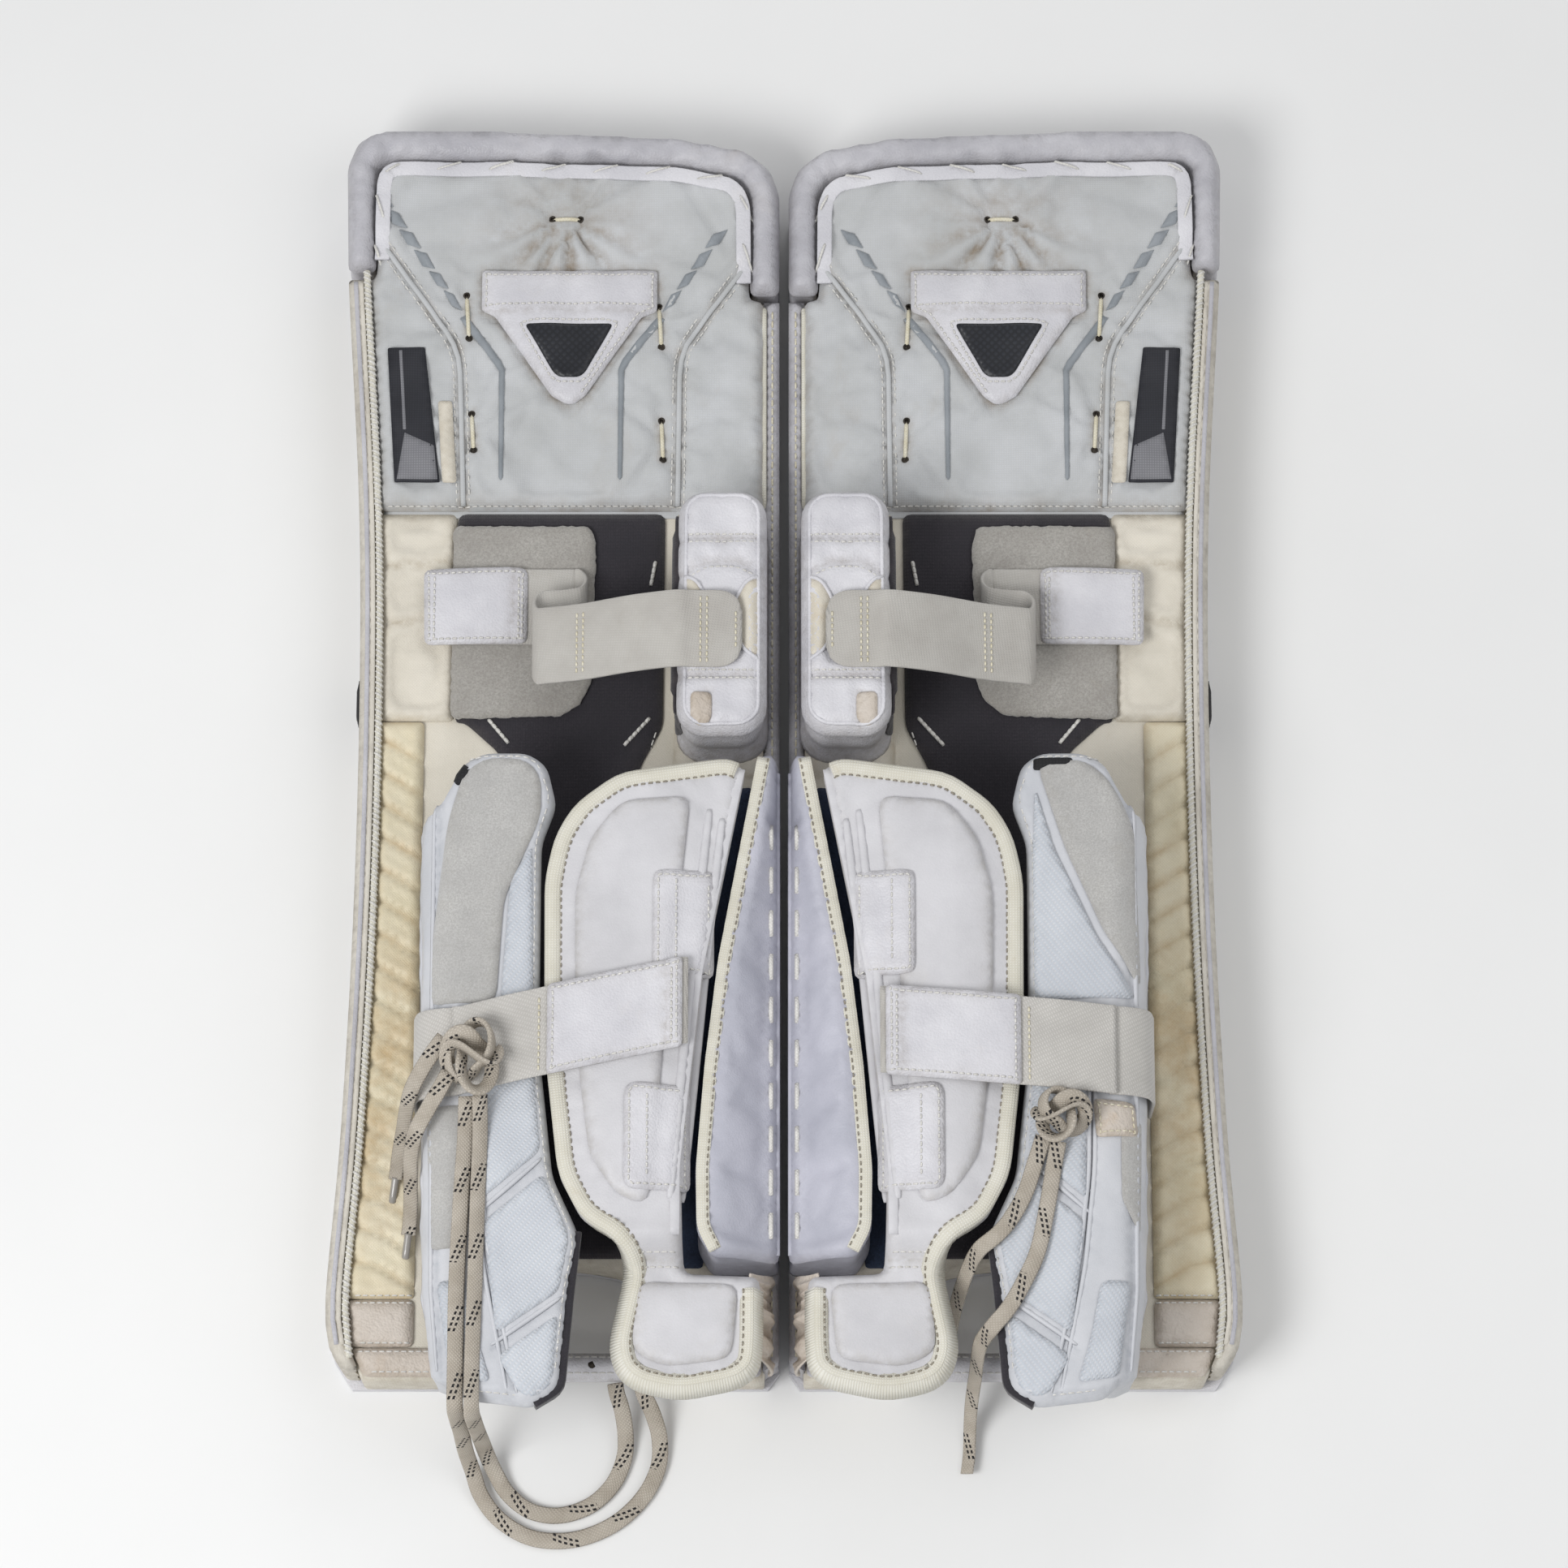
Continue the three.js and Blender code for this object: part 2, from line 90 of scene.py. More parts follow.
# One surface of blotches, stains, grain, creases and weave. Sizes and depths are in millimetres:
# marks (key, colour, size, two levels, stretch), weave (across, along, depth, shade), grain and crease
# (size, depth), fuzz (size, depth, shade), soil look (colour, amount; dirt with painted shade in seam
# grooves), rough (least, most).
def finish(name, look):
    material = bpy.data.materials.new(name)
    material.use_nodes = True
    tree = material.node_tree
    tree.nodes.clear()
    place = addNode(tree, "ShaderNodeTexCoord")
    sewn = addNode(tree, "ShaderNodeAttribute", {"attribute_name": "sewnAt"})
    inMm = addNode(tree, "ShaderNodeMapping", {"Scale": (1000, 1000, 1000)},
        {"Vector": place.outputs["Object"]})
    alongMm = addNode(tree, "ShaderNodeMapping", {"Scale": (1000, 1000, 1000)},
        {"Vector": sewn.outputs["Vector"]})
    blotch = addNode(tree, "ShaderNodeTexNoise", {"Scale": 1 / look.get("blotch", 45), "Detail": 5,
        "Roughness": 0.6}, {"Vector": inMm.outputs[0]})
    colour = addNode(tree, "ShaderNodeValToRGB", {}, {"Fac": blotch.outputs["Fac"]})
    colour.color_ramp.elements[0].position = 0.35
    colour.color_ramp.elements[1].position = 0.65
    colour.color_ramp.elements[0].color = rgb(look["colours"][0])
    colour.color_ramp.elements[1].color = rgb(look["colours"][1])
    paint = colour.outputs["Color"]
    heights = []
    for key, hexColour, size, low, high, stretch in look.get("marks", ()):
        # marks: soft stains or sharper scuffs, whichever edge the two levels give
        spread = addNode(tree, "ShaderNodeMapping", {"Scale": stretch, "Location": (len(key) * 31, 17, 5)},
            {"Vector": inMm.outputs[0]})
        spot = addNode(tree, "ShaderNodeTexNoise", {"Scale": 1 / size, "Detail": 7, "Roughness": 0.65,
            "Distortion": 0.6}, {"Vector": spread.outputs[0]})
        level = addNode(tree, "ShaderNodeMapRange", {"From Min": low, "From Max": high,
            "To Max": look.get("markDepth", 0.7)}, {"Value": spot.outputs["Fac"]})
        mixed = addNode(tree, "ShaderNodeMix", {"data_type": "RGBA", 7: rgb(hexColour)},
            {"Factor": level.outputs[0], 6: paint})
        paint = mixed.outputs[2]
    if "weave" in look:
        across, along, depth, dark = look["weave"]
        turn = addNode(tree, "ShaderNodeMapping", {"Rotation": (0, 0, math.radians(look.get("turn", 0)))},
            {"Vector": alongMm.outputs[0]})
        warp = addNode(tree, "ShaderNodeTexWave", {"bands_direction": "X", "Scale": bandSpacing / across},
            {"Vector": turn.outputs[0]})
        weft = addNode(tree, "ShaderNodeTexWave", {"bands_direction": "Y", "Scale": bandSpacing / along},
            {"Vector": turn.outputs[0]})
        cell = addNode(tree, "ShaderNodeMath", {"operation": "MULTIPLY"},
            {0: warp.outputs["Fac"], 1: weft.outputs["Fac"]})
        shade = addNode(tree, "ShaderNodeMapRange", {"From Min": 0.0, "From Max": 0.6,
            "To Min": look.get("weaveShade", 0.55), "To Max": 0}, {"Value": cell.outputs[0]})
        woven = addNode(tree, "ShaderNodeMix", {"data_type": "RGBA", 7: rgb(dark)},
            {"Factor": shade.outputs[0], 6: paint})
        paint = woven.outputs[2]
        heights.append((cell.outputs[0], depth))
    if "tracer" in look:
        # groups of black picks that step across the lace in two slanting rows
        pick = look["tracer"]
        parts = addNode(tree, "ShaderNodeSeparateXYZ", {}, {0: alongMm.outputs[0]})
        group = addNode(tree, "ShaderNodeMath", {"operation": "FLOORED_MODULO", 1: pick["repeat"]},
            {0: parts.outputs["Y"]})
        slope = addNode(tree, "ShaderNodeMath", {"operation": "MULTIPLY_ADD", 1: -pick["slant"],
            2: pick["start"]}, {0: group.outputs[0]})
        apart = addNode(tree, "ShaderNodeMath", {"operation": "SUBTRACT"},
            {0: parts.outputs["X"], 1: slope.outputs[0]})
        rows = addNode(tree, "ShaderNodeMath", {"operation": "PINGPONG", 1: pick["rowGap"]},
            {0: apart.outputs[0]})
        reach = addNode(tree, "ShaderNodeMath", {"operation": "ABSOLUTE"}, {0: apart.outputs[0]})
        ticks = addNode(tree, "ShaderNodeMath", {"operation": "PINGPONG", 1: pick["tickGap"]},
            {0: parts.outputs["Y"]})
        mask = None
        for source, test, level in ((reach, "LESS_THAN", pick["halfWide"]),
                (rows, "GREATER_THAN", pick["rowGap"] / 2), (group, "LESS_THAN", pick["length"]),
                (ticks, "GREATER_THAN", pick["tickSpace"])):
            passed = addNode(tree, "ShaderNodeMath", {"operation": test, 1: level}, {0: source.outputs[0]})
            mask = passed if mask is None else addNode(tree, "ShaderNodeMath", {"operation": "MULTIPLY"},
                {0: mask.outputs[0], 1: passed.outputs[0]})
        picked = addNode(tree, "ShaderNodeMix", {"data_type": "RGBA", 7: rgb(pick["colour"])},
            {"Factor": mask.outputs[0], 6: paint})
        paint = picked.outputs[2]
    if "grain" in look:
        size, depth = look["grain"]
        pebble = addNode(tree, "ShaderNodeTexVoronoi", {"Scale": 1 / size}, {"Vector": inMm.outputs[0]})
        heights.append((pebble.outputs["Distance"], -depth))
    if "fuzz" in look:
        size, depth, dark = look["fuzz"]
        fibre = addNode(tree, "ShaderNodeTexNoise", {"Scale": 1 / size, "Detail": 8, "Roughness": 0.8},
            {"Vector": inMm.outputs[0]})
        felted = addNode(tree, "ShaderNodeMapRange", {"From Min": 0.42, "From Max": 0.6, "To Min": 0.75,
            "To Max": 0}, {"Value": fibre.outputs["Fac"]})
        fuzzed = addNode(tree, "ShaderNodeMix", {"data_type": "RGBA", 7: rgb(dark)},
            {"Factor": felted.outputs[0], 6: paint})
        paint = fuzzed.outputs[2]
        heights.append((fibre.outputs["Fac"], depth))
    if "crease" in look:
        size, depth = look["crease"]
        fold = addNode(tree, "ShaderNodeTexNoise", {"Scale": 1 / size, "Detail": 4, "Distortion": 1.2},
            {"Vector": inMm.outputs[0]})
        fold.noise_type = "RIDGED_MULTIFRACTAL"
        heights.append((fold.outputs["Fac"], depth))
    if "soilAndShade" in look:
        # dirt held in seams and along edges, with painted shade in the seam grooves, broken up by a fine
        # noise
        hexColour, amount = look["soilAndShade"]
        held = addNode(tree, "ShaderNodeAttribute", {"attribute_name": "soilAndShade"})
        broken = addNode(tree, "ShaderNodeTexNoise", {"Scale": 1 / look.get("soilSize", 7), "Detail": 6,
            "Roughness": 0.7}, {"Vector": inMm.outputs[0]})
        grimeAndShade = addNode(tree, "ShaderNodeMapRange", {"From Min": 0.35, "From Max": 0.7,
            "To Max": amount * 1.2}, {"Value": broken.outputs["Fac"]})
        # dirt and the painted seam shade, mixed into the paint
        dirt = addNode(tree, "ShaderNodeMath", {"operation": "MULTIPLY", "use_clamp": True},
            {0: held.outputs["Fac"], 1: grimeAndShade.outputs[0]})
        soiledAndShaded = addNode(tree, "ShaderNodeMix", {"data_type": "RGBA", 7: rgb(hexColour)},
            {"Factor": dirt.outputs[0], 6: paint})
        paint = soiledAndShaded.outputs[2]
    total = None
    for source, depth in heights:
        part = addNode(tree, "ShaderNodeMath", {"operation": "MULTIPLY", 1: depth}, {0: source})
        total = part if total is None else addNode(tree, "ShaderNodeMath", {"operation": "ADD"},
            {0: part.outputs[0], 1: total.outputs[0]})
    rough = addNode(tree, "ShaderNodeMapRange", {"From Min": 0.3, "From Max": 0.7,
        "To Min": look["rough"][0], "To Max": look["rough"][1]}, {"Value": blotch.outputs["Fac"]})
    links = {"Base Color": paint, "Roughness": rough.outputs[0]}
    if total is not None:
        bump = addNode(tree, "ShaderNodeBump", {"Strength": 1, "Distance": 0.001},
            {"Height": total.outputs[0]})
        links["Normal"] = bump.outputs["Normal"]
    sockets = {"IOR": look.get("ior", 1.5), "Metallic": look.get("metallic", 0)}
    if "sheen" in look:
        sockets["Sheen Weight"] = look["sheen"]
        sockets["Sheen Roughness"] = 0.5
    if "coat" in look:
        sockets["Coat Weight"] = look["coat"]
        sockets["Coat Roughness"] = 0.25
    shader = addNode(tree, "ShaderNodeBsdfPrincipled", sockets, links)
    addNode(tree, "ShaderNodeOutputMaterial", {}, {"Surface": shader.outputs[0]})
    return material


upright = (1, 1, 1)
looks = {
    # Polyurethane-coated leather, embossed with a fine pebble: soft highlights, faint grey rubs
    "embossedLeatherWhite": {"colours": ("#CAC9CE", "#DAD9DD"),
        "marks": (("rub", "#A8A3A3", 14, 0.66, 0.8, (1, 2.5, 1)),
        ("tan", "#CFC3AC", 50, 0.6, 0.9, upright)), "markDepth": 0.25, "grain": (1.4, 0.28),
        "crease": (12, 0.2), "rough": (0.4, 0.55), "coat": 0.06, "soilAndShade": ("#8E8478", 0.55)},
    # Same leather gone cream where sweat and glue soaked in
    "embossedLeatherCream": {"colours": ("#C3B8AC", "#D3CAC0"),
        "marks": (("tan", "#B8935E", 30, 0.6, 0.82, upright),), "markDepth": 0.5, "grain": (1.4, 0.3),
        "crease": (8, 0.7), "rough": (0.45, 0.65), "soilAndShade": ("#8A7552", 0.6)},
    # Plain-woven nylon, pale grey, water-marked, its base darkened as painted shade for the tilted thigh;
    # its 0.6 mm thread is drawn at 1.5 mm to show
    "wovenNylonGreyShaded": {"colours": ("#B6B8B9", "#C8CACD"), "blotch": 60,
        "marks": (("rust", "#A79A86", 48, 0.60, 0.86, (1, 0.7, 1)),
        ("spot", "#8D7F6C", 5, 0.74, 0.8, upright)), "markDepth": 0.45, "weave": (1.5, 1.5, 0.1, "#B5B5B0"),
        "weaveShade": 0.3, "crease": (26, 0.3), "rough": (0.68, 0.85), "sheen": 0.1,
        "soilAndShade": ("#85735C", 0.85), "soilSize": 14},
    # Brushed loop knit, near black with a violet cast and lint
    "brushedKnitBlack": {"colours": ("#29262D", "#3B373D"), "blotch": 30,
        "marks": (("lint", "#7A757A", 4, 0.7, 0.8, upright),), "markDepth": 0.3,
        "weave": (1.6, 2.2, 0.15, "#1F1D23"), "weaveShade": 0.4, "fuzz": (1.4, 0.25, "#232127"),
        "rough": (0.85, 0.97), "sheen": 0.3, "soilAndShade": ("#5B5453", 0.5)},
    # Brushed knit dyed navy, behind the wings
    "brushedKnitNavy": {"colours": ("#2C3850", "#3A4964"), "blotch": 30, "fuzz": (1.4, 0.25, "#202A3E"),
        "rough": (0.85, 0.97), "sheen": 0.3},
    # Leather on the rolled edge, with grey rubs where it is handled most; its base is greyed as painted
    # shade for the tilted top end
    "embossedLeatherWornShaded": {"colours": ("#AFAEB4", "#C4C3C8"),
        "marks": (("rub", "#8E8A8A", 12, 0.66, 0.82, (1, 2.5, 1)),
        ("tan", "#BFB4A4", 50, 0.6, 0.9, upright)), "markDepth": 0.35, "grain": (1.4, 0.24),
        "crease": (14, 0.2), "rough": (0.42, 0.58), "coat": 0.06, "soilAndShade": ("#7E766C", 0.55)},
    # Padded wedge skin: the same vinyl with a lilac cast, its base darkened as painted shade for the deep
    # valley between the pads
    "paddedVinylLilacShaded": {"colours": ("#AFB0BB", "#C1C1CC"), "blotch": 60,
        "marks": (("rub", "#9C9AA6", 16, 0.66, 0.84, (1, 2, 1)),), "markDepth": 0.3, "grain": (1.2, 0.12),
        "crease": (30, 0.12), "rough": (0.46, 0.6), "soilAndShade": ("#8A8790", 0.55)},
    # Paler loop felt on the wings: short fibres, less dirt
    "needledFeltPale": {"colours": ("#BDBCBA", "#CCCBC8"), "blotch": 26, "fuzz": (1.1, 0.5, "#A5A3A0"),
        "rough": (0.93, 1.0), "sheen": 0.5, "marks": (("tan", "#B0A798", 30, 0.6, 0.85, upright),
        ("grit", "#4E4A46", 2.5, 0.78, 0.8, upright)), "markDepth": 0.5, "soilAndShade": ("#8F8878", 0.4)},
    # Needled wool felt: short mixed grey fibres, no shine
    "needledFeltGrey": {"colours": ("#ABA7A1", "#BCB9B3"), "blotch": 26, "fuzz": (1.2, 0.6, "#8F8B85"),
        "rough": (0.93, 1.0), "sheen": 0.5, "marks": (("hair", "#DEDCD6", 1.6, 0.62, 0.7, (3, 0.5, 1)),
        ("tan", "#ADA391", 30, 0.6, 0.85, upright)), "markDepth": 0.45, "soilAndShade": ("#8F8878", 0.4)},
    # Calendered vinyl, off-white going cream, with brown tide marks
    "calenderedVinylCream": {"colours": ("#D3CDC0", "#E1DBCF"), "blotch": 60,
        "marks": (("tide", "#BFA070", 42, 0.62, 0.85, (1, 0.8, 1)),
        ("dirt", "#857A68", 6, 0.74, 0.8, upright)), "markDepth": 0.5, "weave": (1.3, 1.3, 0.06, "#C9C1A9"),
        "weaveShade": 0.22, "turn": 45, "grain": (1.1, 0.12), "crease": (18, 0.3), "rough": (0.46, 0.66),
        "coat": 0.06, "soilAndShade": ("#8A7654", 0.6)},
    # The same vinyl aged yellow beside the calf, where the tide marks are deepest
    "calenderedVinylAged": {"colours": ("#DBD1B5", "#E6DEC8"), "blotch": 70,
        "marks": (("tide", "#B58742", 46, 0.56, 0.78, (1, 0.6, 1)),
        ("dirt", "#7A6A50", 7, 0.72, 0.8, upright)), "markDepth": 0.2, "weave": (1.3, 1.3, 0.06, "#C4B88E"),
        "weaveShade": 0.22, "turn": 45, "grain": (1.1, 0.12), "crease": (14, 0.15), "rough": (0.46, 0.66),
        "coat": 0.06, "soilAndShade": ("#B6935A", 0.65), "soilSize": 34},
    # Layered edge strips, scuffed brown-grey from the ice and the boards
    "scuffedVinylGrey": {"colours": ("#CBC5B9", "#D8D3C8"), "blotch": 40,
        "marks": (("scuff", "#7C7368", 12, 0.52, 0.7, (1, 0.35, 1)),), "markDepth": 0.3,
        "grain": (1.1, 0.2), "crease": (14, 0.3), "rough": (0.5, 0.75), "soilAndShade": ("#6F665C", 0.6)},
    # Moulded EVA shell with a blue-white skin: smooth, slightly waxy
    "mouldedShellWhite": {"colours": ("#C1C3C8", "#CFD0D4"), "blotch": 60,
        "marks": (("rub", "#A9ACB2", 20, 0.64, 0.8, (1, 2, 1)),), "markDepth": 0.3, "grain": (0.9, 0.1),
        "crease": (30, 0.15), "rough": (0.4, 0.55), "coat": 0.05, "soilAndShade": ("#8C929A", 0.5)},
    # Padded wing skin, knit-backed vinyl: almost white, matt
    "paddedVinylWhite": {"colours": ("#C6C5C8", "#D3D2D5"), "blotch": 60,
        "marks": (("tan", "#D0CABA", 50, 0.6, 0.9, upright), ("nick", "#8C8377", 3, 0.78, 0.82, upright)),
        "markDepth": 0.25, "grain": (1.2, 0.12), "crease": (30, 0.12), "rough": (0.46, 0.6),
        "soilAndShade": ("#9A917F", 0.55)},
    # Herringbone mesh, woven polyester sealed in clear skin: slanting ribs 3 mm apart
    "wovenMeshPale": {"colours": ("#C7C9CE", "#D3D5D9"), "weave": (3.0, 2.0, 0.28, "#AFBAC6"),
        "weaveShade": 0.4, "turn": 38, "rough": (0.5, 0.68), "sheen": 0.1, "soilAndShade": ("#8C929A", 0.5)},
    # Knitted elastic webbing with rubber core: pale grey with fine slanting ribs, drawn at 1.6 mm to show
    "knittedElasticGrey": {"colours": ("#C3C0BB", "#D3D0CB"), "blotch": 35,
        "weave": (1.6, 2.4, 0.25, "#A19E98"), "weaveShade": 0.45, "turn": 28, "rough": (0.8, 0.95),
        "sheen": 0.2, "marks": (("rub", "#A19B93", 20, 0.6, 0.8, (2, 1, 1)),), "markDepth": 0.35},
    # The same webbing in white, handled more, with its ribs straighter
    "knittedElasticWhite": {"colours": ("#B1ADA8", "#C1BEB9"), "blotch": 35,
        "weave": (1.8, 1.6, 0.22, "#ABA89F"), "weaveShade": 0.4, "turn": 8, "rough": (0.8, 0.95),
        "sheen": 0.2, "marks": (("rub", "#A8A298", 22, 0.58, 0.82, (2, 1, 1)),), "markDepth": 0.45},
    # Woven binding tape, cream, ribbed every 1.6 mm
    "wovenTapeCream": {"colours": ("#D9D6CA", "#E5E3DA"), "blotch": 25,
        "weave": (1.6, 1.6, 0.25, "#BDB69F"), "weaveShade": 0.4, "rough": (0.8, 0.95),
        "marks": (("tan", "#AD9466", 22, 0.6, 0.8, upright),), "markDepth": 0.45},
    # Flat skate lace, waxed polyester, beige grey, with groups of black tracer picks across it
    "wovenLaceBeige": {"colours": ("#B3AA9D", "#CBC3B7"), "blotch": 18,
        "weave": (1.5, 1.8, 0.35, "#8F8678"), "weaveShade": 0.5, "turn": 45, "rough": (0.75, 0.92),
        "marks": (("dirt", "#857A6C", 16, 0.58, 0.8, upright),), "markDepth": 0.4,
        "tracer": {"colour": "#1E1D1F", "repeat": 42.0, "length": 17.0, "start": 3.0, "slant": 0.36,
        "halfWide": 3.2, "rowGap": 1.5, "tickGap": 1.7, "tickSpace": 0.7}},
    # Screen-printed ink, grey, cracked over the cloth
    "printedInkGrey": {"colours": ("#848A8F", "#969BA0"),
        "marks": (("crack", "#CDD2CF", 3, 0.68, 0.74, upright),), "grain": (1.2, 0.12),
        "rough": (0.5, 0.7)},
    # Black and grey blocks printed on woven tape, worn through in spots
    "printedLabelBlack": {"colours": ("#1B1C24", "#2A2B33"),
        "marks": (("rub", "#6C6C72", 9, 0.68, 0.76, upright),), "weave": (1.6, 1.6, 0.1, "#101117"),
        "rough": (0.5, 0.7)},
    "printedLabelGrey": {"colours": ("#7B7B80", "#8C8C90"), "weave": (1.6, 1.6, 0.1, "#5E5E63"),
        "rough": (0.5, 0.7)},
    # Carbon-look vinyl: 3.5 mm squares of black sheen
    "carbonLookVinyl": {"colours": ("#191B22", "#23262E"), "weave": (3.5, 3.5, 0.15, "#0A0C12"), "turn": 45,
        "weaveShade": 0.7, "rough": (0.4, 0.5)},
    # Bonded nylon thread, twisted, slightly glossy
    "twistedThreadWhite": {"colours": ("#D6D4CF", "#E9E7E2"), "blotch": 8,
        "weave": (1.4, 1.4, 0.2, "#B5B2AB"), "turn": 40, "weaveShade": 0.3, "rough": (0.5, 0.65)},
    # Undyed thread gone cream
    "twistedThreadCream": {"colours": ("#D8D0B6", "#E9E4D2"), "blotch": 8,
        "weave": (1.4, 1.4, 0.2, "#B9B092"), "turn": 40, "weaveShade": 0.3, "rough": (0.55, 0.7)},
    # The same thread darkened with dirt, seen as small dashes on the bindings
    "twistedThreadDark": {"colours": ("#938B7D", "#A69E90"), "blotch": 8,
        "weave": (1.4, 1.4, 0.2, "#3B3833"), "turn": 40, "weaveShade": 0.3, "rough": (0.55, 0.7)},
    # Clear acetate aglet with the lace showing grey inside
    "mouldedAcetate": {"colours": ("#8F8B86", "#A9A59F"), "rough": (0.15, 0.3), "coat": 0.6, "ior": 1.48},
    # Black nylon webbing, ribbed every 2 mm, matt
    "wovenNylonBlack": {"colours": ("#17171A", "#242428"), "weave": (2.0, 2.0, 0.3, "#0A0A0C"),
        "rough": (0.7, 0.85)},
    # Brass eyelet, blackened, seen as a dark ring
    "blackenedBrass": {"colours": ("#2C2823", "#453E36"), "metallic": 0.6, "rough": (0.4, 0.6)},
}
surface = {name: finish(name, look) for name, look in looks.items()}
print("materials made:", len(surface))


# Mesh helpers

def resample(points, step, closed=True):
    line = np.array(points, float)
    if closed:
        line = np.vstack([line, line[:1]])
    made = []
    for a, b in zip(line[:-1], line[1:]):
        count = max(1, round(float(np.linalg.norm(b - a)) / step))
        made += [a + (b - a) * k / count for k in range(count)]
    if not closed:
        made.append(line[-1])
    return np.array(made)


# Rounds the corners of an outline or a line
def soften(points, radius, closed=True):
    line = [np.array(p, float) for p in points]
    made = []
    for i, p in enumerate(line):
        if not closed and i in (0, len(line) - 1):
            made.append(p)
            continue
        before = line[i - 1]
        after = line[(i + 1) % len(line)]
        a = p + (before - p) * min(0.45, radius / max(np.linalg.norm(before - p), 1e-6))
        b = p + (after - p) * min(0.45, radius / max(np.linalg.norm(after - p), 1e-6))
        for t in (0, 0.33, 0.67, 1):
            made.append(a * (1 - t) ** 2 + 2 * p * t * (1 - t) + b * t * t)
    return np.array(made)


def closed(line):
    return [tuple(p) for p in line] + [tuple(line[0])]


def smoothLine(points, step):
    line = np.array(points, float)
    padded = np.vstack([2 * line[0] - line[1], line, 2 * line[-1] - line[-2]])
    made = []
    for i in range(1, len(padded) - 2):
        p0, p1, p2, p3 = padded[i - 1:i + 3]
        count = max(2, round(float(np.linalg.norm(p2 - p1)) / step))
        for k in range(count):
            t = k / count
            made.append(0.5 * (2 * p1 + (p2 - p0) * t + (2 * p0 - 5 * p1 + 4 * p2 - p3) * t * t +
                (3 * p1 - p0 - 3 * p2 + p3) * t ** 3))
    made.append(line[-1])
    return np.array(made)


def away(points, line):
    points = np.asarray(points, float)[:, :2]
    line = np.asarray(line, float)[:, :2]
    best = np.full(len(points), 1e9)
    for a, b in zip(line[:-1], line[1:]):
        d = b - a
        size = max(float(d @ d), 1e-9)
        t = np.clip(((points - a) @ d) / size, 0, 1)
        best = np.minimum(best, np.linalg.norm(points - a - t[:, None] * d, axis=1))
    return best


def within(points, outline):
    x, y = points[:, 0], points[:, 1]
    inside = np.zeros(len(points), bool)
    for a, b in zip(outline, np.roll(outline, -1, axis=0)):
        if abs(b[1] - a[1]) < 1e-9:
            continue
        crosses = ((a[1] > y) != (b[1] > y)) & (x < (b[0] - a[0]) * (y - a[1]) / (b[1] - a[1]) + a[0])
        inside ^= crosses
    return inside


# Even triangles inside an outline, with rows of points along the seams
def triangulate(outline, step, seams=()):
    rim = resample(outline, step)
    if np.sum(rim[:, 0] * np.roll(rim[:, 1], -1) - np.roll(rim[:, 0], -1) * rim[:, 1]) < 0:
        rim = rim[::-1]
    loop = np.vstack([rim, rim[:1]])
    low, high = rim.min(0), rim.max(0)
    inner = []
    seamPoints = [resample(s, step, False) for s in seams]
    for row in range(int((high[1] - low[1]) / (step * 0.87)) + 2):
        for col in range(int((high[0] - low[0]) / step) + 2):
            inner.append((low[0] + (col + (row % 2) * 0.5) * step, low[1] + row * step * 0.87))
    inner = np.array(inner)
    keep = within(inner, rim) & (away(inner, loop) > step * 0.6)
    for s in seamPoints:
        keep &= away(inner, s) > step * 0.55
    parts = [rim]
    for s in seamPoints:
        parts.append(s[within(s, rim) & (away(s, loop) > step * 0.5)])
    points = np.vstack(parts + [inner[keep]])
    ring = list(range(len(rim)))
    made = delaunay_2d_cdt([Vector(p) for p in points], [], [ring], 1, 1e-4)
    at = np.array([tuple(v) for v in made[0]])
    faces = [tuple(f) for f in made[2]]
    where = {}
    for index, sources in enumerate(made[3]):
        for s in sources:
            where[s] = index
    return at, faces, [where[i] for i in ring]


def flat(low):
    return lambda p, h: np.column_stack([p[:, 0], p[:, 1], low + h])


def addPiece(name, verts, faces, material, body, side=None, sewn=None, nodes=(), slot=None, soilAndShade=None):
    verts = np.array(verts, float) * 0.001
    faces = [tuple(f) for f in faces]
    if side == "left":
        verts[:, 0] *= -1
        faces = [f[::-1] for f in faces]
    mesh = bpy.data.meshes.new(name)
    mesh.from_pydata(verts.tolist(), [], faces)
    mesh.shade_smooth()
    if sewn is not None:
        attribute = mesh.attributes.new("sewnAt", "FLOAT_VECTOR", "POINT")
        attribute.data.foreach_set("vector", (np.array(sewn, float) * 0.001).astype(np.float32).ravel())
    if soilAndShade is not None:
        attribute = mesh.attributes.new("soilAndShade", "FLOAT", "POINT")
        attribute.data.foreach_set("value", np.array(soilAndShade, np.float32))
    mesh.materials.append(surface[material])
    made = bpy.data.objects.new(name, mesh)
    scene.collection.objects.link(made)
    if body:
        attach(made, body)
    if nodes:
        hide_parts(*nodes)
    return made


simulated = []
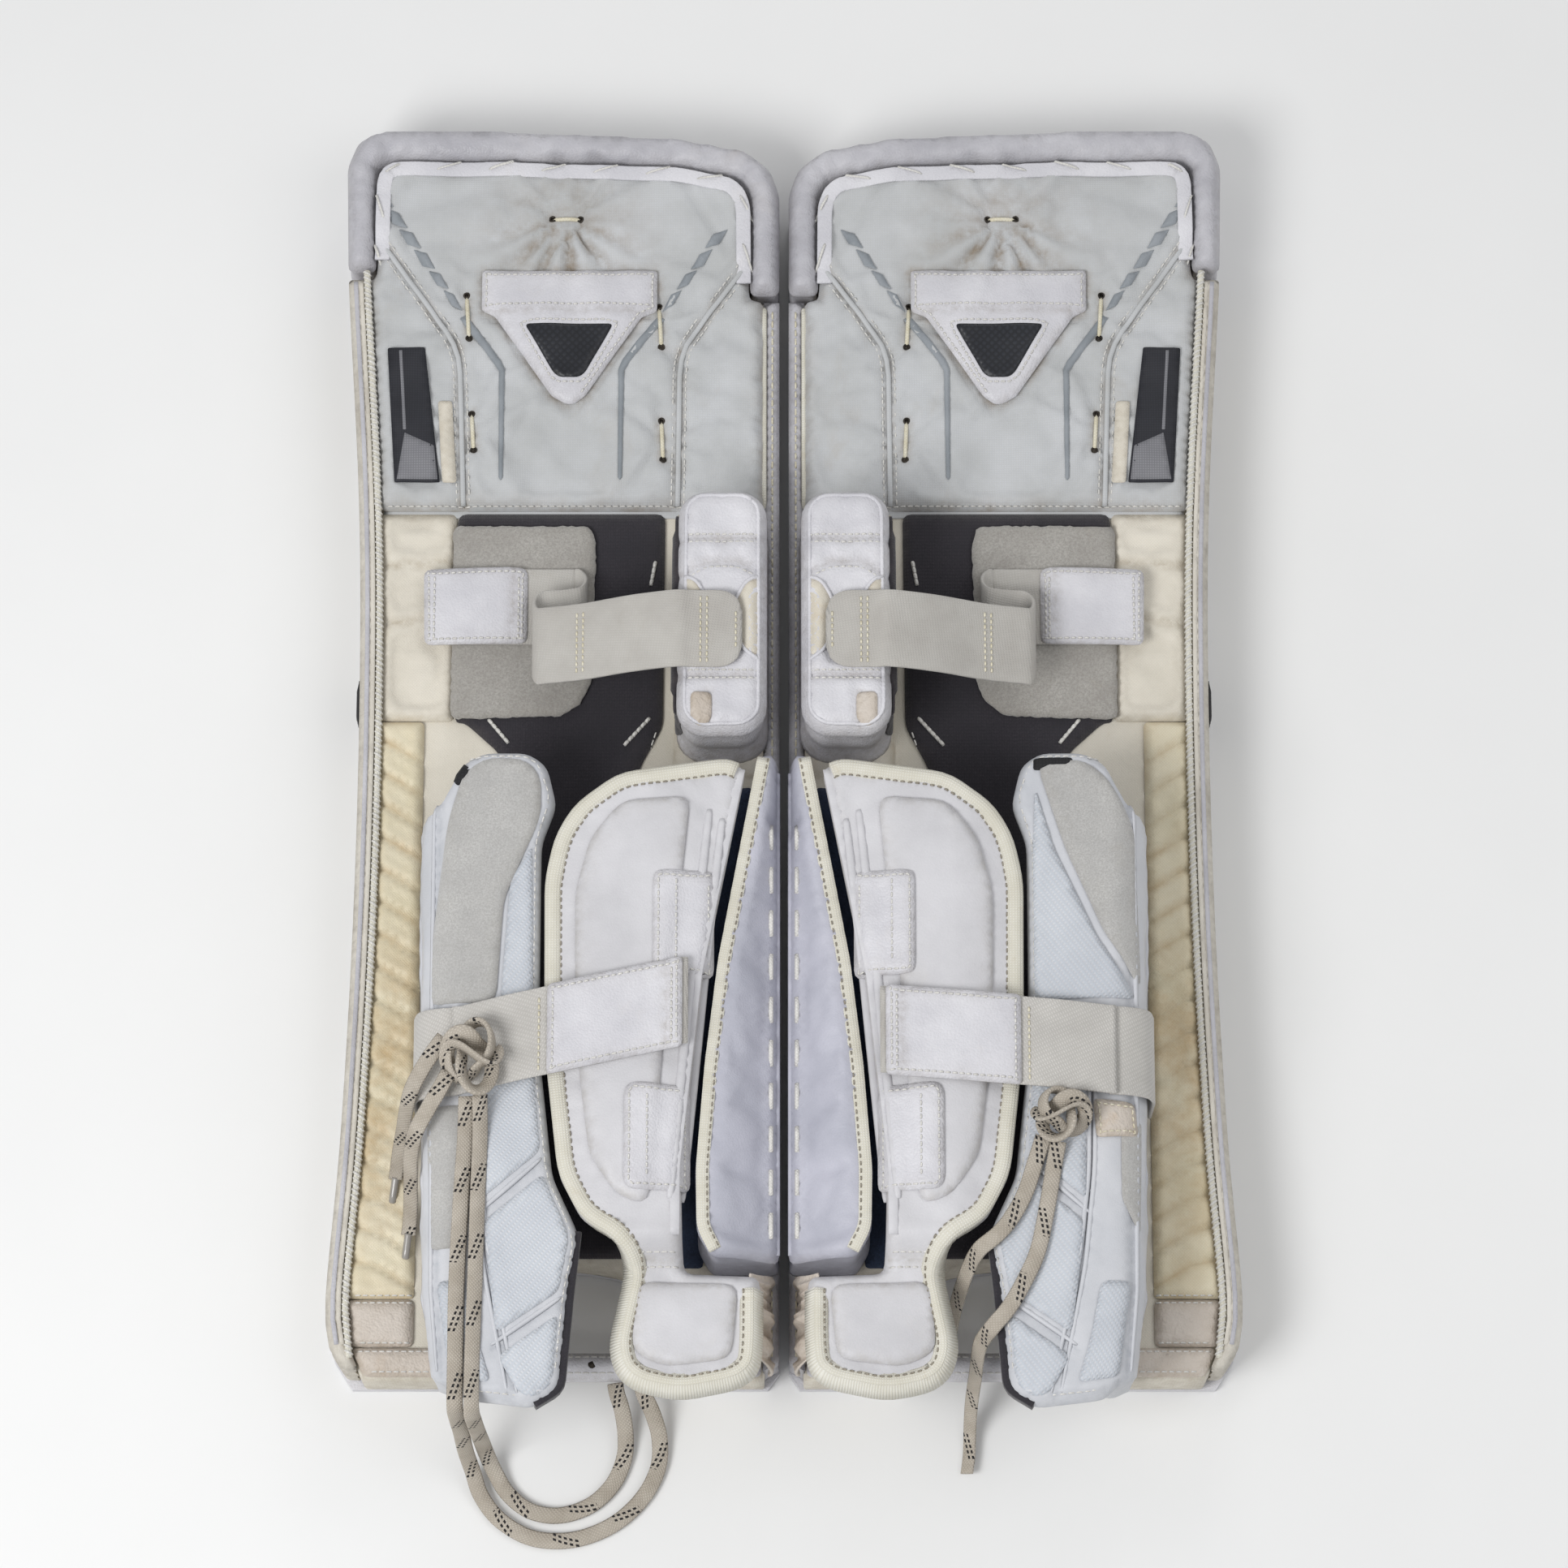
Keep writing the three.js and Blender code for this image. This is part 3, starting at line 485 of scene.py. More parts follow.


# A closed cushion over an outline, in millimetres. It starts at low and rises by thick, its edge keeps
# the share rim of that and rolls over within round, and the seams sink by groove. wall(t) is how far the
# side stands out, from 0 at the bottom to 1 at the top, extra(p, edge) a rise of its own and stain(p)
# the dirt in it, with any painted shade it holds; the seams get painted shade along with their dirt.
# filling makes it cloth to blow up: pressure, most swell in millimetres, shrink.
def cushion(name, outline, material, body, side, thick, step=5, low=0, place=None, seams=(), groove=1.5,
        grooveWidth=4, round=8, rim=0.5, wall=None, extra=None, nodes=(), slot=None, rings=None,
        stain=None, filling=None):
    place = place or flat(low)
    at, faces, ring = triangulate(outline, step, seams)
    loop = np.vstack([at[ring], at[ring[:1]]])
    edge = np.clip(away(at, loop) / round, 0, 1)
    height = thick * (rim + (1 - rim) * np.sqrt(1 - (1 - edge) ** 2))
    for s in seams:
        height -= groove * np.exp(-(away(at, s) / grooveWidth) ** 2)
    if extra is not None:
        height += extra(at, edge)
    top = place(at, height)
    dirt = 0.55 * np.exp(-away(at, loop) / 5)
    # darker along the seams: dirt, and painted shade in the grooves
    for s in seams:
        dirt = np.maximum(dirt, 0.75 * np.exp(-(away(at, s) / 3.2) ** 2))
    if stain is not None:
        dirt = np.maximum(dirt, stain(at))
    soilAndShade = [dirt]
    verts = [top]
    sewn = [np.column_stack([at[:, 0] + 0.0, at[:, 1], height])]
    faces = list(faces)
    rimAt = at[ring]
    tangent = np.roll(rimAt, -1, axis=0) - np.roll(rimAt, 1, axis=0)
    normal = np.column_stack([tangent[:, 1], -tangent[:, 0]])
    normal /= np.maximum(np.linalg.norm(normal, axis=1), 1e-9)[:, None]
    rings = rings or max(2, int(thick * rim / step) + 1)
    previous = list(ring)
    for k in range(1, rings + 1):
        t = 1 - k / rings
        out = wall(t) if wall else 0.04 * thick * math.sin(math.pi * t)
        spot = rimAt + normal * out
        ringHeight = height[ring] * t
        start = sum(len(v) for v in verts)
        verts.append(place(spot, ringHeight))
        soilAndShade.append(np.full(len(ring), 0.35 + 0.4 * (1 - t)))
        sewn.append(np.column_stack([spot[:, 0] + (height[ring] - ringHeight),
            spot[:, 1] + (height[ring] - ringHeight), ringHeight]))
        current = list(range(start, start + len(ring)))
        for i in range(len(ring)):
            j = (i + 1) % len(ring)
            faces.append((previous[i], current[i], current[j], previous[j]))
        previous = current
    base = delaunay_2d_cdt([Vector(p) for p in rimAt], [], [list(range(len(ring)))], 1, 1e-4)
    source = [s[0] for s in base[3]]
    faces += [tuple(previous[source[i]] for i in f)[::-1] for f in base[2]]
    made = addPiece(name, np.vstack(verts), faces, material, body, side, np.vstack(sewn), nodes, slot,
        np.concatenate(soilAndShade))
    pinned = np.ones(len(made.data.vertices), bool)
    free = away(at, loop) > step * 0.9
    for s in seams:
        free &= away(at, s) > step * 0.8
    pinned[:len(at)][free] = False
    if filling:
        simulated.append((made, pinned, *filling))
    return made


# A tube or ribbon along a line. The profile is [across, up] points; up starts as near z as it can.
def sweep(points, profile, up=(0, 0, 1), taper=None):
    line = np.array(points, float)
    tangents = np.gradient(line, axis=0)
    tangents /= np.linalg.norm(tangents, axis=1)[:, None]
    normal = np.array(up, float)
    verts = []
    sewn = []
    faces = []
    run = 0.0
    count = len(profile)
    for i, p in enumerate(line):
        t = tangents[i]
        normal = normal - t * (normal @ t)
        normal /= max(np.linalg.norm(normal), 1e-9)
        across = np.cross(t, normal)
        if i:
            run += float(np.linalg.norm(p - line[i - 1]))
        size = taper(i / (len(line) - 1)) if taper else 1
        for a, b in profile:
            verts.append(p + across * a * size + normal * b * size)
            sewn.append((a, run, b))
        if i:
            for k in range(count):
                m = (k + 1) % count
                a, b = (i - 1) * count, i * count
                faces.append((a + k, a + m, b + m, b + k))
    faces.append(tuple(range(count))[::-1])
    faces.append(tuple(range((len(line) - 1) * count, len(line) * count)))
    return verts, faces, sewn


def join(parts):
    verts, faces, sewn = [], [], []
    for v, f, s in parts:
        start = len(verts)
        verts += list(v)
        sewn += list(s)
        faces += [tuple(start + i for i in face) for face in f]
    return verts, faces, sewn


def circle(radius, count, flatten=1.0):
    return [(radius * math.cos(2 * math.pi * k / count), radius * flatten *
        math.sin(2 * math.pi * k / count)) for k in range(count)]


# Laces come first; each one's length is measured and printed

laces = {
    "width": 10.0,
    "thick": 2.0,
    "left": {
        "RunA": ([[104, -395.4, 30], [103, -401, 25], [100, -410, 17], [98, -424, 8], [99, -438, 4.5],
            [106, -454, 4], [120, -467, 4], [139, -473, 4], [157, -470, 4], [171, -459, 4], [179, -446, 8],
            [183, -438, 20], [185, -434, 45], [186, -433, 80], [186.5, -432, 108], [187, -430, 127],
            [187, -421, 132.5], [187, -400, 132], [186, -354, 132], [185, -299, 132], [184, -262, 134],
            [184, -239, 144]], "object", "left_lace_run_a"),
        "RunB": ([[88, -395.4, 30], [86, -402, 25], [81, -412, 17], [77, -426, 8], [78, -444, 4.5],
            [88, -463, 4], [106, -479, 4], [130, -488, 4], [155, -487, 4], [175, -476, 4], [187, -461, 5],
            [192, -447, 14], [195, -439, 40], [196, -433, 75], [196.5, -431, 105], [197, -428, 126],
            [197, -418, 132.5], [197, -398, 132], [197, -354, 132], [195, -299, 132], [193, -264, 134],
            [192, -240, 144]], "object", "left_lace_run_b"),
        "TailA": ([[206, -204, 147], [212, -212, 146], [220, -223, 140], [227, -233, 126], [231, -241, 107],
            [234, -249, 87], [237, -257, 70], [239, -266, 60], [240, -273, 58.3]], "fitting",
            "left_lace_tail_a"),
        "TailB": ([[203, -226, 147], [208, -235, 145], [216, -247, 138], [224, -259, 126],
            [227.6, -270, 107], [228.6, -281, 88], [229.5, -291, 71], [230.5, -300, 60],
            [231.5, -308, 58.3]], "fitting", "left_lace_tail_b"),
    },
    "right": {
        "FreeEnd": ([[166, -266, 136], [163, -282, 131.5], [159, -305, 131.2], [153, -332, 131.2],
            [144, -352, 131.2], [135, -367, 130.5], [125, -378, 124], [119, -384, 106], [117.5, -390, 84],
            [117, -396, 62], [116, -403, 40], [115.3, -411, 20], [115, -422, 7], [114.5, -436, 4],
            [113, -447, 4]], "bare", "right_lace_free_end"),
        "ToBridge": ([[157, -263, 136], [152, -278, 131.5], [146, -296, 131.2], [138, -311, 131],
            [129, -322, 131], [118, -330, 124], [112, -338, 108], [108, -347, 90], [105, -355, 70],
            [103, -364, 50], [102, -369, 41], [101.6, -374.6, 34]], "object", "right_lace_to_bridge"),
    },
    "knots": {"left": ((189, -216, 149), (16, 24, 10)), "right": ((168, -250, 141), (15, 17, 10))},
}
halfWide = laces["width"] / 2
halfThick = laces["thick"] / 2
ribbonProfile = [(-halfWide, 0), (-halfWide * 0.8, halfThick * 0.8), (0, halfThick),
    (halfWide * 0.8, halfThick * 0.8), (halfWide, 0), (halfWide * 0.8, -halfThick * 0.8), (0, -halfThick),
    (-halfWide * 0.8, -halfThick * 0.8)]

for side, sign in signs.items():
    for part, (route, farEnd, node) in laces[side].items():
        line = smoothLine(route, 3.0)
        verts, faces, sewn = sweep(line, ribbonProfile)
        blended = part != "FreeEnd"
        tail = part.startswith("Tail")
        lace = addPiece(side + "Lace" + part, verts, faces, "wovenLaceBeige", None if blended
            else side + "_outer_wing_body", side, sewn, [node], "lace_weave")
        inMetres = [(sign * p[0] / 1000, p[1] / 1000, p[2] / 1000) for p in line]
        length = sum(math.dist(a, b) for a, b in zip(inMetres, inMetres[1:]))
        if farEnd == "fitting":
            end = line[-1]
            before = line[-4]
            heading = (end - before) / np.linalg.norm(end - before)
            tube, tubeFaces, tubeSewn = sweep([end + heading * k for k in (-1, 0, 4, 9, 14, 15)],
                circle(2.3, 10, 0.8), taper=lambda t: 1 if t < 0.95 else 0.6)
            addPiece(side + "Aglet" + part, tube, tubeFaces, "mouldedAcetate", side + "_pad",
                side, tubeSewn, (), "lace_weave")
        if tail:
            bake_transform(lace)
        elif side == "left":
            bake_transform(lace)
        elif blended:
            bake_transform(lace)
        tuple(inMetres[0])
        print(side, part, "lace", round(length * 1000), "mm")
    # the knot: a flat lace wound three times round and pulled tight
    centre, size = laces["knots"][side]
    wound = []
    for k in range(90):
        a = 2 * math.pi * k / 90
        ring = 0.66 + 0.3 * math.cos(3 * a)
        wound.append((centre[0] + size[0] * ring * math.cos(2 * a),
            centre[1] + size[1] * ring * math.sin(2 * a), centre[2] + size[2] * 0.5 * math.sin(3 * a)))
    parts = [sweep(wound + wound[:2], [(a * 0.95, b * 1.7) for a, b in ribbonProfile])]
    over = [(centre[0] + size[0] * 0.95 * math.cos(a), centre[1] + size[1] * 0.25 * math.sin(2 * a),
        centre[2] + size[2] * 0.9 * math.sin(a)) for a in np.linspace(-0.5, math.pi + 0.5, 24)]
    parts.append(sweep(over, [(a, b * 1.3) for a, b in ribbonProfile]))
    verts, faces, sewn = join(parts)
    addPiece(side + "LaceKnot", verts, faces, "wovenLaceBeige", side + "_outer_wing_body", side, sewn,
        [side + "_lace_knot"], "lace_weave")
print("laces laid")

floorMesh = bpy.data.meshes.new("floor")
floorMesh.from_pydata([(-3, -3, -0.0005), (3, -3, -0.0005), (3, 3, -0.0005), (-3, 3, -0.0005)], [],
    [(0, 1, 2, 3)])
floor = bpy.data.objects.new("floor", floorMesh)
scene.collection.objects.link(floor)
floorLook = finish("mattPaperWhite", {"colours": ("#E9E9E8", "#ECECEB"), "blotch": 400,
    "rough": (0.85, 0.95)})
floorMesh.materials.append(floorLook)

light = {"key": ((-1.4, -1.2, 2.3), 1.2, 47), "fill": ((1.7, -0.2, 2.6), 2.2, 15),
    "back": ((0.4, 2.6, 1.4), 1.2, 9)}
for name, (spot, size, power) in light.items():
    lamp = bpy.data.lights.new(name, "AREA")
    lamp.size = size
    lamp.energy = power
    lampObject = bpy.data.objects.new(name, lamp)
    scene.collection.objects.link(lampObject)
    lampObject.location = spot
    lampObject.rotation_euler = (-Vector(spot)).to_track_quat("-Z", "Y").to_euler()
world = bpy.data.worlds.new("studio")
world.use_nodes = True
world.node_tree.nodes["Background"].inputs["Color"].default_value = (0.97, 0.98, 1, 1)
world.node_tree.nodes["Background"].inputs["Strength"].default_value = 0.48
scene.world = world
scene.view_settings.view_transform = "Standard"

# Outlines shared by the pieces: the outer edge bows in at the knee, and the boot arch is half an ellipse

edgeKnots = np.array([[284, 400], [282, 326], [272, 170], [269, 40], [270, -103], [275, -244], [282, -346],
    [279, -378]], float)
edgeCurve = smoothLine(edgeKnots, 4)


def outerEdgeAt(v):
    return np.interp(v, edgeCurve[::-1, 1], edgeCurve[::-1, 0])


def outerEdge(start, stop, inset):
    count = max(2, int(abs(start - stop) / 15))
    return [(outerEdgeAt(v) - inset, v) for v in np.linspace(start, stop, count)]


arch = [(140 + 65 * math.cos(math.pi * i / 16), -347 + 26 * math.sin(math.pi * i / 16)) for i in range(17)]
coreOutline = [(13.3, 308), (23, 308), (23, 378), (31, 389), (71, 397), (188, 401), (258, 401), (263, 397),
    (263, 325)] + outerEdge(320, -378, 12.7) + [(258, -394.7), (205, -394.7)] + arch + [(75, -394.7),
    (13.3, -394.7)]

# How high the back of each layer lies over the floor
backOf = {"cover": 6.3, "core": 48.3, "lining": 53.3}
pads = {}
for side, sign in signs.items():
    pad = side + "_pad"
    own = {}
    pads[side] = own

    # Covered foam core: it shows as the walls of the boot arch and in the gaps between panels
    coreCover = {"thick": 41.7, "step": 8, "low": backOf["cover"], "round": 4, "rim": 0.92}
    own["core"] = cushion(side + "CoreCover", coreOutline, "calenderedVinylCream", pad, side,
        nodes=[side + "_foam_core"], slot="core_foam", **coreCover)

    # Rolled top edge, bunched at its corners
    rollOutline = [(3, 311), (22, 311), (22.5, 379), (30.5, 390), (71, 398), (188, 402), (258.5, 402),
        (264, 397.5), (264, 327), (282, 327), (284, 400), (277, 418), (262, 425), (188, 425), (71, 420),
        (25, 411), (9, 398), (3, 380)]

    def bunched(p, edge):
        near = np.minimum(np.hypot(p[:, 0] - 31, p[:, 1] - 389), np.hypot(p[:, 0] - 262, p[:, 1] - 400))
        turn = np.arctan2(p[:, 1] - 380, p[:, 0] - np.where(p[:, 0] < 140, 34, 256))
        return 2.2 * np.exp(-(near / 22) ** 2) * np.sin(turn * 11) * edge

    topRoll = {"thick": 57.7, "step": 4, "low": backOf["cover"], "round": 10, "rim": 0.8, "rings": 14,
        "filling": (3, 2.5, -0.03)}
    own["topRoll"] = cushion(side + "TopRoll", soften(rollOutline, 5), "embossedLeatherWornShaded", pad, side,
        wall=lambda t: -1.5 * abs(math.cos(2.5 * math.pi * t)), extra=bunched, nodes=[side + "_top_roll"],
        slot="roll_leather", **topRoll)

    # Layered outer edge: three stacked strips with grooves between them
    rollEdge = outerEdge(322, -378, 0) + [(270.3, -391), (261, -391)] + outerEdge(-378, 322, 12.4)
    outerEdgeRoll = {"thick": 51.7, "step": 4, "low": backOf["cover"], "round": 6, "rim": 0.9, "rings": 16,
        "filling": (2, 2, -0.04)}
    own["outerRoll"] = cushion(side + "OuterEdgeRoll", soften(rollEdge, 3), "scuffedVinylGrey", pad, side,
        wall=lambda t: -2.2 * abs(math.cos(3 * math.pi * t)), nodes=[side + "_outer_edge_roll"],
        slot="edge_vinyl", **outerEdgeRoll)
    innerRoll = [(3, 308), (13, 308), (13, -391), (3, -385)]
    innerEdgeRoll = {"thick": 46.4, "step": 4, "low": backOf["cover"], "round": 5, "rim": 0.9, "rings": 10}
    own["innerRoll"] = cushion(side + "InnerEdgeRoll", innerRoll, "embossedLeatherWornShaded", pad, side,
        wall=lambda t: -1.2 * abs(math.cos(2 * math.pi * t)), nodes=[side + "_inner_edge_roll"],
        slot="edge_leather", **innerEdgeRoll)
    bridge = [(75.5, -393), (204.5, -393), (204.5, -377), (75.5, -377)]
    toeBridge = {"thick": 18, "step": 4, "low": 22, "round": 6, "rim": 0.6, "filling": (2, 2, -0.03)}
    own["bridge"] = cushion(side + "ToeBridge", soften(bridge, 3), "embossedLeatherWhite", pad, side,
        nodes=[side + "_toe_bridge"], slot="strap_leather", **toeBridge)

    # Thigh cushion: cloth pulled down by the gusset seams, the patch and the lace ties
    thighOutline = [(13.3, 165), (13.3, 307), (23, 308), (23, 378), (31, 389), (71, 397), (188, 401),
        (258, 401), (263, 397), (263, 325)] + outerEdge(320, 165, 12.7)
    patchOutline = [(82, 326), (195, 326), (195, 299), (186, 294), (149, 240), (140, 235), (135, 235),
        (128, 240), (92, 294), (82, 299)]
    ties = [[(132, 362), (150, 362)], [(205, 310), (203, 280)], [(200.6, 229), (199, 204)],
        [(80.7, 303), (79, 274)], [(78.7, 224), (77.5, 197.5)]]
    thighSeams = [[(262, 348), (209, 272), (205, 166)], [(24, 331), (67, 270.5), (68, 166)],
        patchOutline + patchOutline[:1]] + ties

    def pulled(p, edge=1):
        # folds that fan out from the ties, longest below the top one
        rise = np.zeros(len(p))
        for u, v, size, depth in ((141, 360, 52, 4.6), (204, 296, 34, 2.0), (200, 216, 30, 1.8),
                (80, 288, 34, 2.0), (78, 210, 30, 1.8)):
            du, dv = p[:, 0] - u, p[:, 1] - v
            near = np.hypot(du, dv)
            fan = np.arctan2(dv, du)
            down = 0.15 + 0.85 * np.clip(-dv / np.maximum(near, 1), 0, 1) if u == 141 else 1
            count = 12 if u == 141 else 7
            rise += depth * down * np.exp(-(near / size) ** 2) * np.clip(near / 16, 0,
                1) * np.sin(fan * count + 0.8 * np.sin(fan * 3 + u))
        return rise * edge

    # a sweat stain round the top tie, deepened in the fold valleys as painted shade
    def sweatAndFoldShade(p):
        near = np.hypot(p[:, 0] - 141, p[:, 1] - 345)
        return np.clip(0.95 * np.exp(-(near / 46) ** 2) * (0.6 - 0.3 * pulled(p)), 0, 1)

    thighCushion = {"thick": 10.4, "step": 4, "low": 48.6, "groove": 2.6, "grooveWidth": 5, "round": 10,
        "rim": 0.35, "filling": (2.5, 2.4, -0.04)}
    own["thigh"] = cushion(side + "ThighCushion", soften(thighOutline, 6), "wovenNylonGreyShaded", pad, side,
        seams=thighSeams, extra=pulled, stain=sweatAndFoldShade, nodes=[side + "_thigh_panel"], slot="thigh_fabric",
        **thighCushion)

    # Knee and calf linings
    landing = [(76, 163), (208.5, 163), (208.5, 24), (202, 24), (179, 3), (179, -28), (206, -34),
        (206, -327), (195, -321), (85, -321), (70, -327), (70, -34), (92, -28), (92, -7), (77, 21)]
    landingKnit = {"thick": 4.7, "step": 5, "low": backOf["core"], "round": 5, "rim": 0.4}
    own["landing"] = cushion(side + "LandingKnit", soften(landing, 6), "brushedKnitBlack", pad, side,
        nodes=[side + "_landing_panel"], slot="landing_knit", **landingKnit)
    kneeOuter = [(209.5, 25), (209.5, 163)] + outerEdge(163, 25, 12.7)
    kneeOuterPanel = {"thick": 5.0, "step": 4, "low": backOf["core"], "groove": 1.2, "round": 7, "rim": 0.3,
        "filling": (3, 3, -0.05)}
    own["kneeOuter"] = cushion(side + "KneeOuterPanel", soften(kneeOuter, 4), "calenderedVinylCream", pad,
        side, seams=[[(214, 95), (255, 88)], [(214, 130), (256, 128)]], nodes=[side + "_knee_outer_panel"],
        slot="panel_vinyl", **kneeOuterPanel)
    lining = [(13.3, 163), (69.5, 163), (69.5, -333), (13.3, -333)]
    innerLiningPanel = {"thick": 4.7, "step": 5, "low": backOf["core"], "groove": 1.2, "round": 7,
        "rim": 0.35, "filling": (3, 2, -0.03)}
    own["lining"] = cushion(side + "InnerLiningPanel", soften(lining, 4), "calenderedVinylCream", pad, side,
        seams=[[(14, 20), (69, 20)], [(14, -12), (69, -12)]], nodes=[side + "_inner_lining_panel"],
        slot="panel_vinyl", **innerLiningPanel)

    def tide(p):
        # sweat line beside the calf, worst at two places
        return np.clip(1.0 * np.exp(-((p[:, 0] - 254) / 14) ** 2 - ((p[:, 1] + 215) / 70) ** 2) + 0.7 *
            np.exp(-((p[:, 0] - 232) / 12) ** 2 - ((p[:, 1] + 160) / 34) ** 2) + 0.35 *
            np.exp(-((p[:, 1] + 250) / 120) ** 2), 0, 1)

    quiltLines = [[(268, v), (250, v - 4), (229, v - 17)] for v in range(14, -326, -21)]
    quiltOutline = [(228, 24)] + outerEdge(24, -346, 12.7) + [(228, -346)]
    quiltedCalfPanel = {"thick": 6.5, "step": 3.5, "low": backOf["core"], "groove": 3.0, "grooveWidth": 2.6,
        "round": 6, "rim": 0.35, "filling": (4, 3, -0.03)}
    own["quilt"] = cushion(side + "QuiltedCalfPanel", soften(quiltOutline, 3), "calenderedVinylAged", pad,
        side, seams=quiltLines, stain=tide, nodes=[side + "_calf_quilted_panel"], slot="quilt_vinyl",
        **quiltedCalfPanel)
    toeOne = [(228, -347)] + outerEdge(-347, -376, 12.9) + [(228, -376)]
    toeTwo = [(207, -377), (265.5, -377), (258, -394.5), (207, -394.5)]
    toePatchOuter = {"thick": 6.0, "step": 4, "low": backOf["core"], "round": 5, "rim": 0.35}
    own["toeOne"] = cushion(side + "ToePatchOuter", soften(toeOne, 4), "embossedLeatherCream", pad, side,
        slot="quilt_vinyl", **toePatchOuter)
    toePatchEnd = {"thick": 6.0, "step": 4, "low": backOf["core"], "round": 5, "rim": 0.35}
    own["toeTwo"] = cushion(side + "ToePatchEnd", soften(toeTwo, 4), "embossedLeatherCream", pad, side,
        slot="quilt_vinyl", **toePatchEnd)
    toeThree = [(14, -335), (74, -335), (74, -394.5), (14, -394.5)]
    toePatchInner = {"thick": 4.5, "step": 5, "low": backOf["core"], "round": 5, "rim": 0.35}
    own["toeThree"] = cushion(side + "ToePatchInner", soften(toeThree, 4), "embossedLeatherWhite", pad,
        side, slot="panel_vinyl", **toePatchInner)
    feltOutline = [(123, 153), (211, 153), (211, 25), (140, 27), (128, 36), (122, 50), (120, 140)]
    ragged = [(u + dice.uniform(-0.5, 0.5), v + dice.uniform(-0.5, 0.5)) for u,
        v in resample(soften(feltOutline, 5), 2.6)]
    kneeFeltPatch = {"thick": 3.7, "step": 4, "low": backOf["lining"], "round": 2, "rim": 0.7}
    cushion(side + "KneeFeltPatch", ragged, "needledFeltGrey", pad, side, nodes=[side + "_knee_felt_patch"],
        slot="loop_felt", **kneeFeltPatch)

    # Knee block: tall cushion beside the knee
    blockOutline = [(22, 156), (56, 156), (66, 146), (67, 8), (57, -3), (22, -3), (11, 8), (11, 146)]
    blockSeams = [[(12, 123), (66, 123)], [(13, 100), (30, 108), (48, 108), (65, 98)], [(12, 34), (66, 34)],
        [(47, 22), (47, 0)]]
    kneeBlock = {"thick": 70.5, "step": 4, "low": backOf["lining"], "groove": 2.4, "grooveWidth": 3.5,
        "round": 12, "rim": 0.86, "rings": 16, "filling": (3, 4, -0.04)}
    own["block"] = cushion(side + "KneeBlock", soften(blockOutline, 8), "embossedLeatherWhite", pad, side,
        seams=blockSeams, wall=lambda t: -3 * math.sin(math.pi * t) + 1.2 * math.cos(4 * math.pi * t),
        nodes=[side + "_knee_block"], slot="block_leather", **kneeBlock)

    # Calf wedge: the tall ridge along the inner edge
    wedgeOutline = [(3, -17), (16, -17), (31, -100), (40, -149), (48, -215), (54, -279), (53, -318),
        (44, -333), (3, -333)]

    def slope(p, edge):
        # the top falls away towards the other pad
        outer = np.interp(p[:, 1], [-333, -318, -279, -215, -149, -100, -17], [46, 53, 54, 48, 40, 31, 17])
        t = np.clip((outer - 9 - p[:, 0]) / np.maximum(outer - 12, 1), 0, 1)
        return -24 * t * t * (2 - t)

    calfWedge = {"thick": 68, "step": 4, "low": backOf["lining"], "round": 6, "rim": 0.9, "rings": 14,
        "filling": (3, 1.5, -0.03)}
    own["wedge"] = cushion(side + "CalfWedge", soften(wedgeOutline, 5), "paddedVinylLilacShaded", pad, side,
        extra=slope, wall=lambda t: -2 * math.sin(math.pi * t), nodes=[side + "_calf_wedge"],
        slot="wing_foam", **calfWedge)

# Outer wing: one moulded sheet, up from the pad and over the calf. It is drawn along its own skin:
# s from the foot of the wall to the free edge, v along the pad.
wingSection = smoothLine([(224, 48.6), (224, 80), (224, 104), (219, 117), (208, 125), (190, 128),
    (160, 128), (120, 124)], 4)
wingRun = np.concatenate([[0], np.cumsum(np.linalg.norm(np.diff(wingSection, axis=0), axis=1))])
wingNormal = np.gradient(wingSection, axis=0)
wingNormal = np.column_stack([wingNormal[:, 1], -wingNormal[:, 0]]) / np.linalg.norm(wingNormal, axis=1)[:,
    None]
wingThick = 15.0


def wingS(u):
    # where a distance out lies on the skin, for the top and the shoulder
    first = int(np.argmax(wingSection[:, 1] > 100))
    return float(np.interp(u, wingSection[first:][::-1, 0], wingRun[first:][::-1]))


def onWing(lift):
    def place(p, h):
        s = np.clip(p[:, 0], 0, wingRun[-1])
        u = np.interp(s, wingRun, wingSection[:, 0])
        z = np.interp(s, wingRun, wingSection[:, 1])
        nu = np.interp(s, wingRun, wingNormal[:, 0])
        nz = np.interp(s, wingRun, wingNormal[:, 1])
        lean = np.interp(p[:, 1], [-414, -354, -204, -46], [-14, -5, -2, 0]) * np.clip((110 - s) / 60, 0, 1)
        depth = lift + h - wingThick
        return np.column_stack([u + lean + nu * depth, p[:, 1], z + nz * depth])
    return place


wingTopOutline = [(212, -44), (200, -24), (186, -17), (158, -17), (146, -25), (140, -50), (149, -75),
    (149, -205), (140, -284), (127, -312), (123, -322), (129, -355), (134, -416), (150, -425), (196, -420),
    (209, -414)]
wingOutline = [(0, -60), (wingS(222), -54)] + [(wingS(u), v) for u,
    v in wingTopOutline] + [(wingS(214), -412), (0, -408)]
for side, sign in signs.items():
    own = pads[side]
    body = side + "_outer_wing_body"
    ribs = [[(wingS(213), -50), (wingS(213), -405)], [(wingS(188), -182), (wingS(187), -280),
        (wingS(180), -340), (wingS(162), -420)], [(wingS(146), -276), (wingS(186), -312)],
        [(wingS(134), -362), (wingS(176), -392)], [(30, -60), (30, -400)]]
    outerWing = {"thick": wingThick, "step": 4.5, "groove": 1.6, "grooveWidth": 2.4, "round": 6,
        "rim": 0.45, "filling": (2, 1.5, -0.005)}
    own["outerWing"] = cushion(side + "OuterWing", soften(wingOutline, 6), "mouldedShellWhite", body, side,
        place=onWing(0), seams=ribs, nodes=[side + "_outer_wing"], slot="wing_shell", **outerWing)

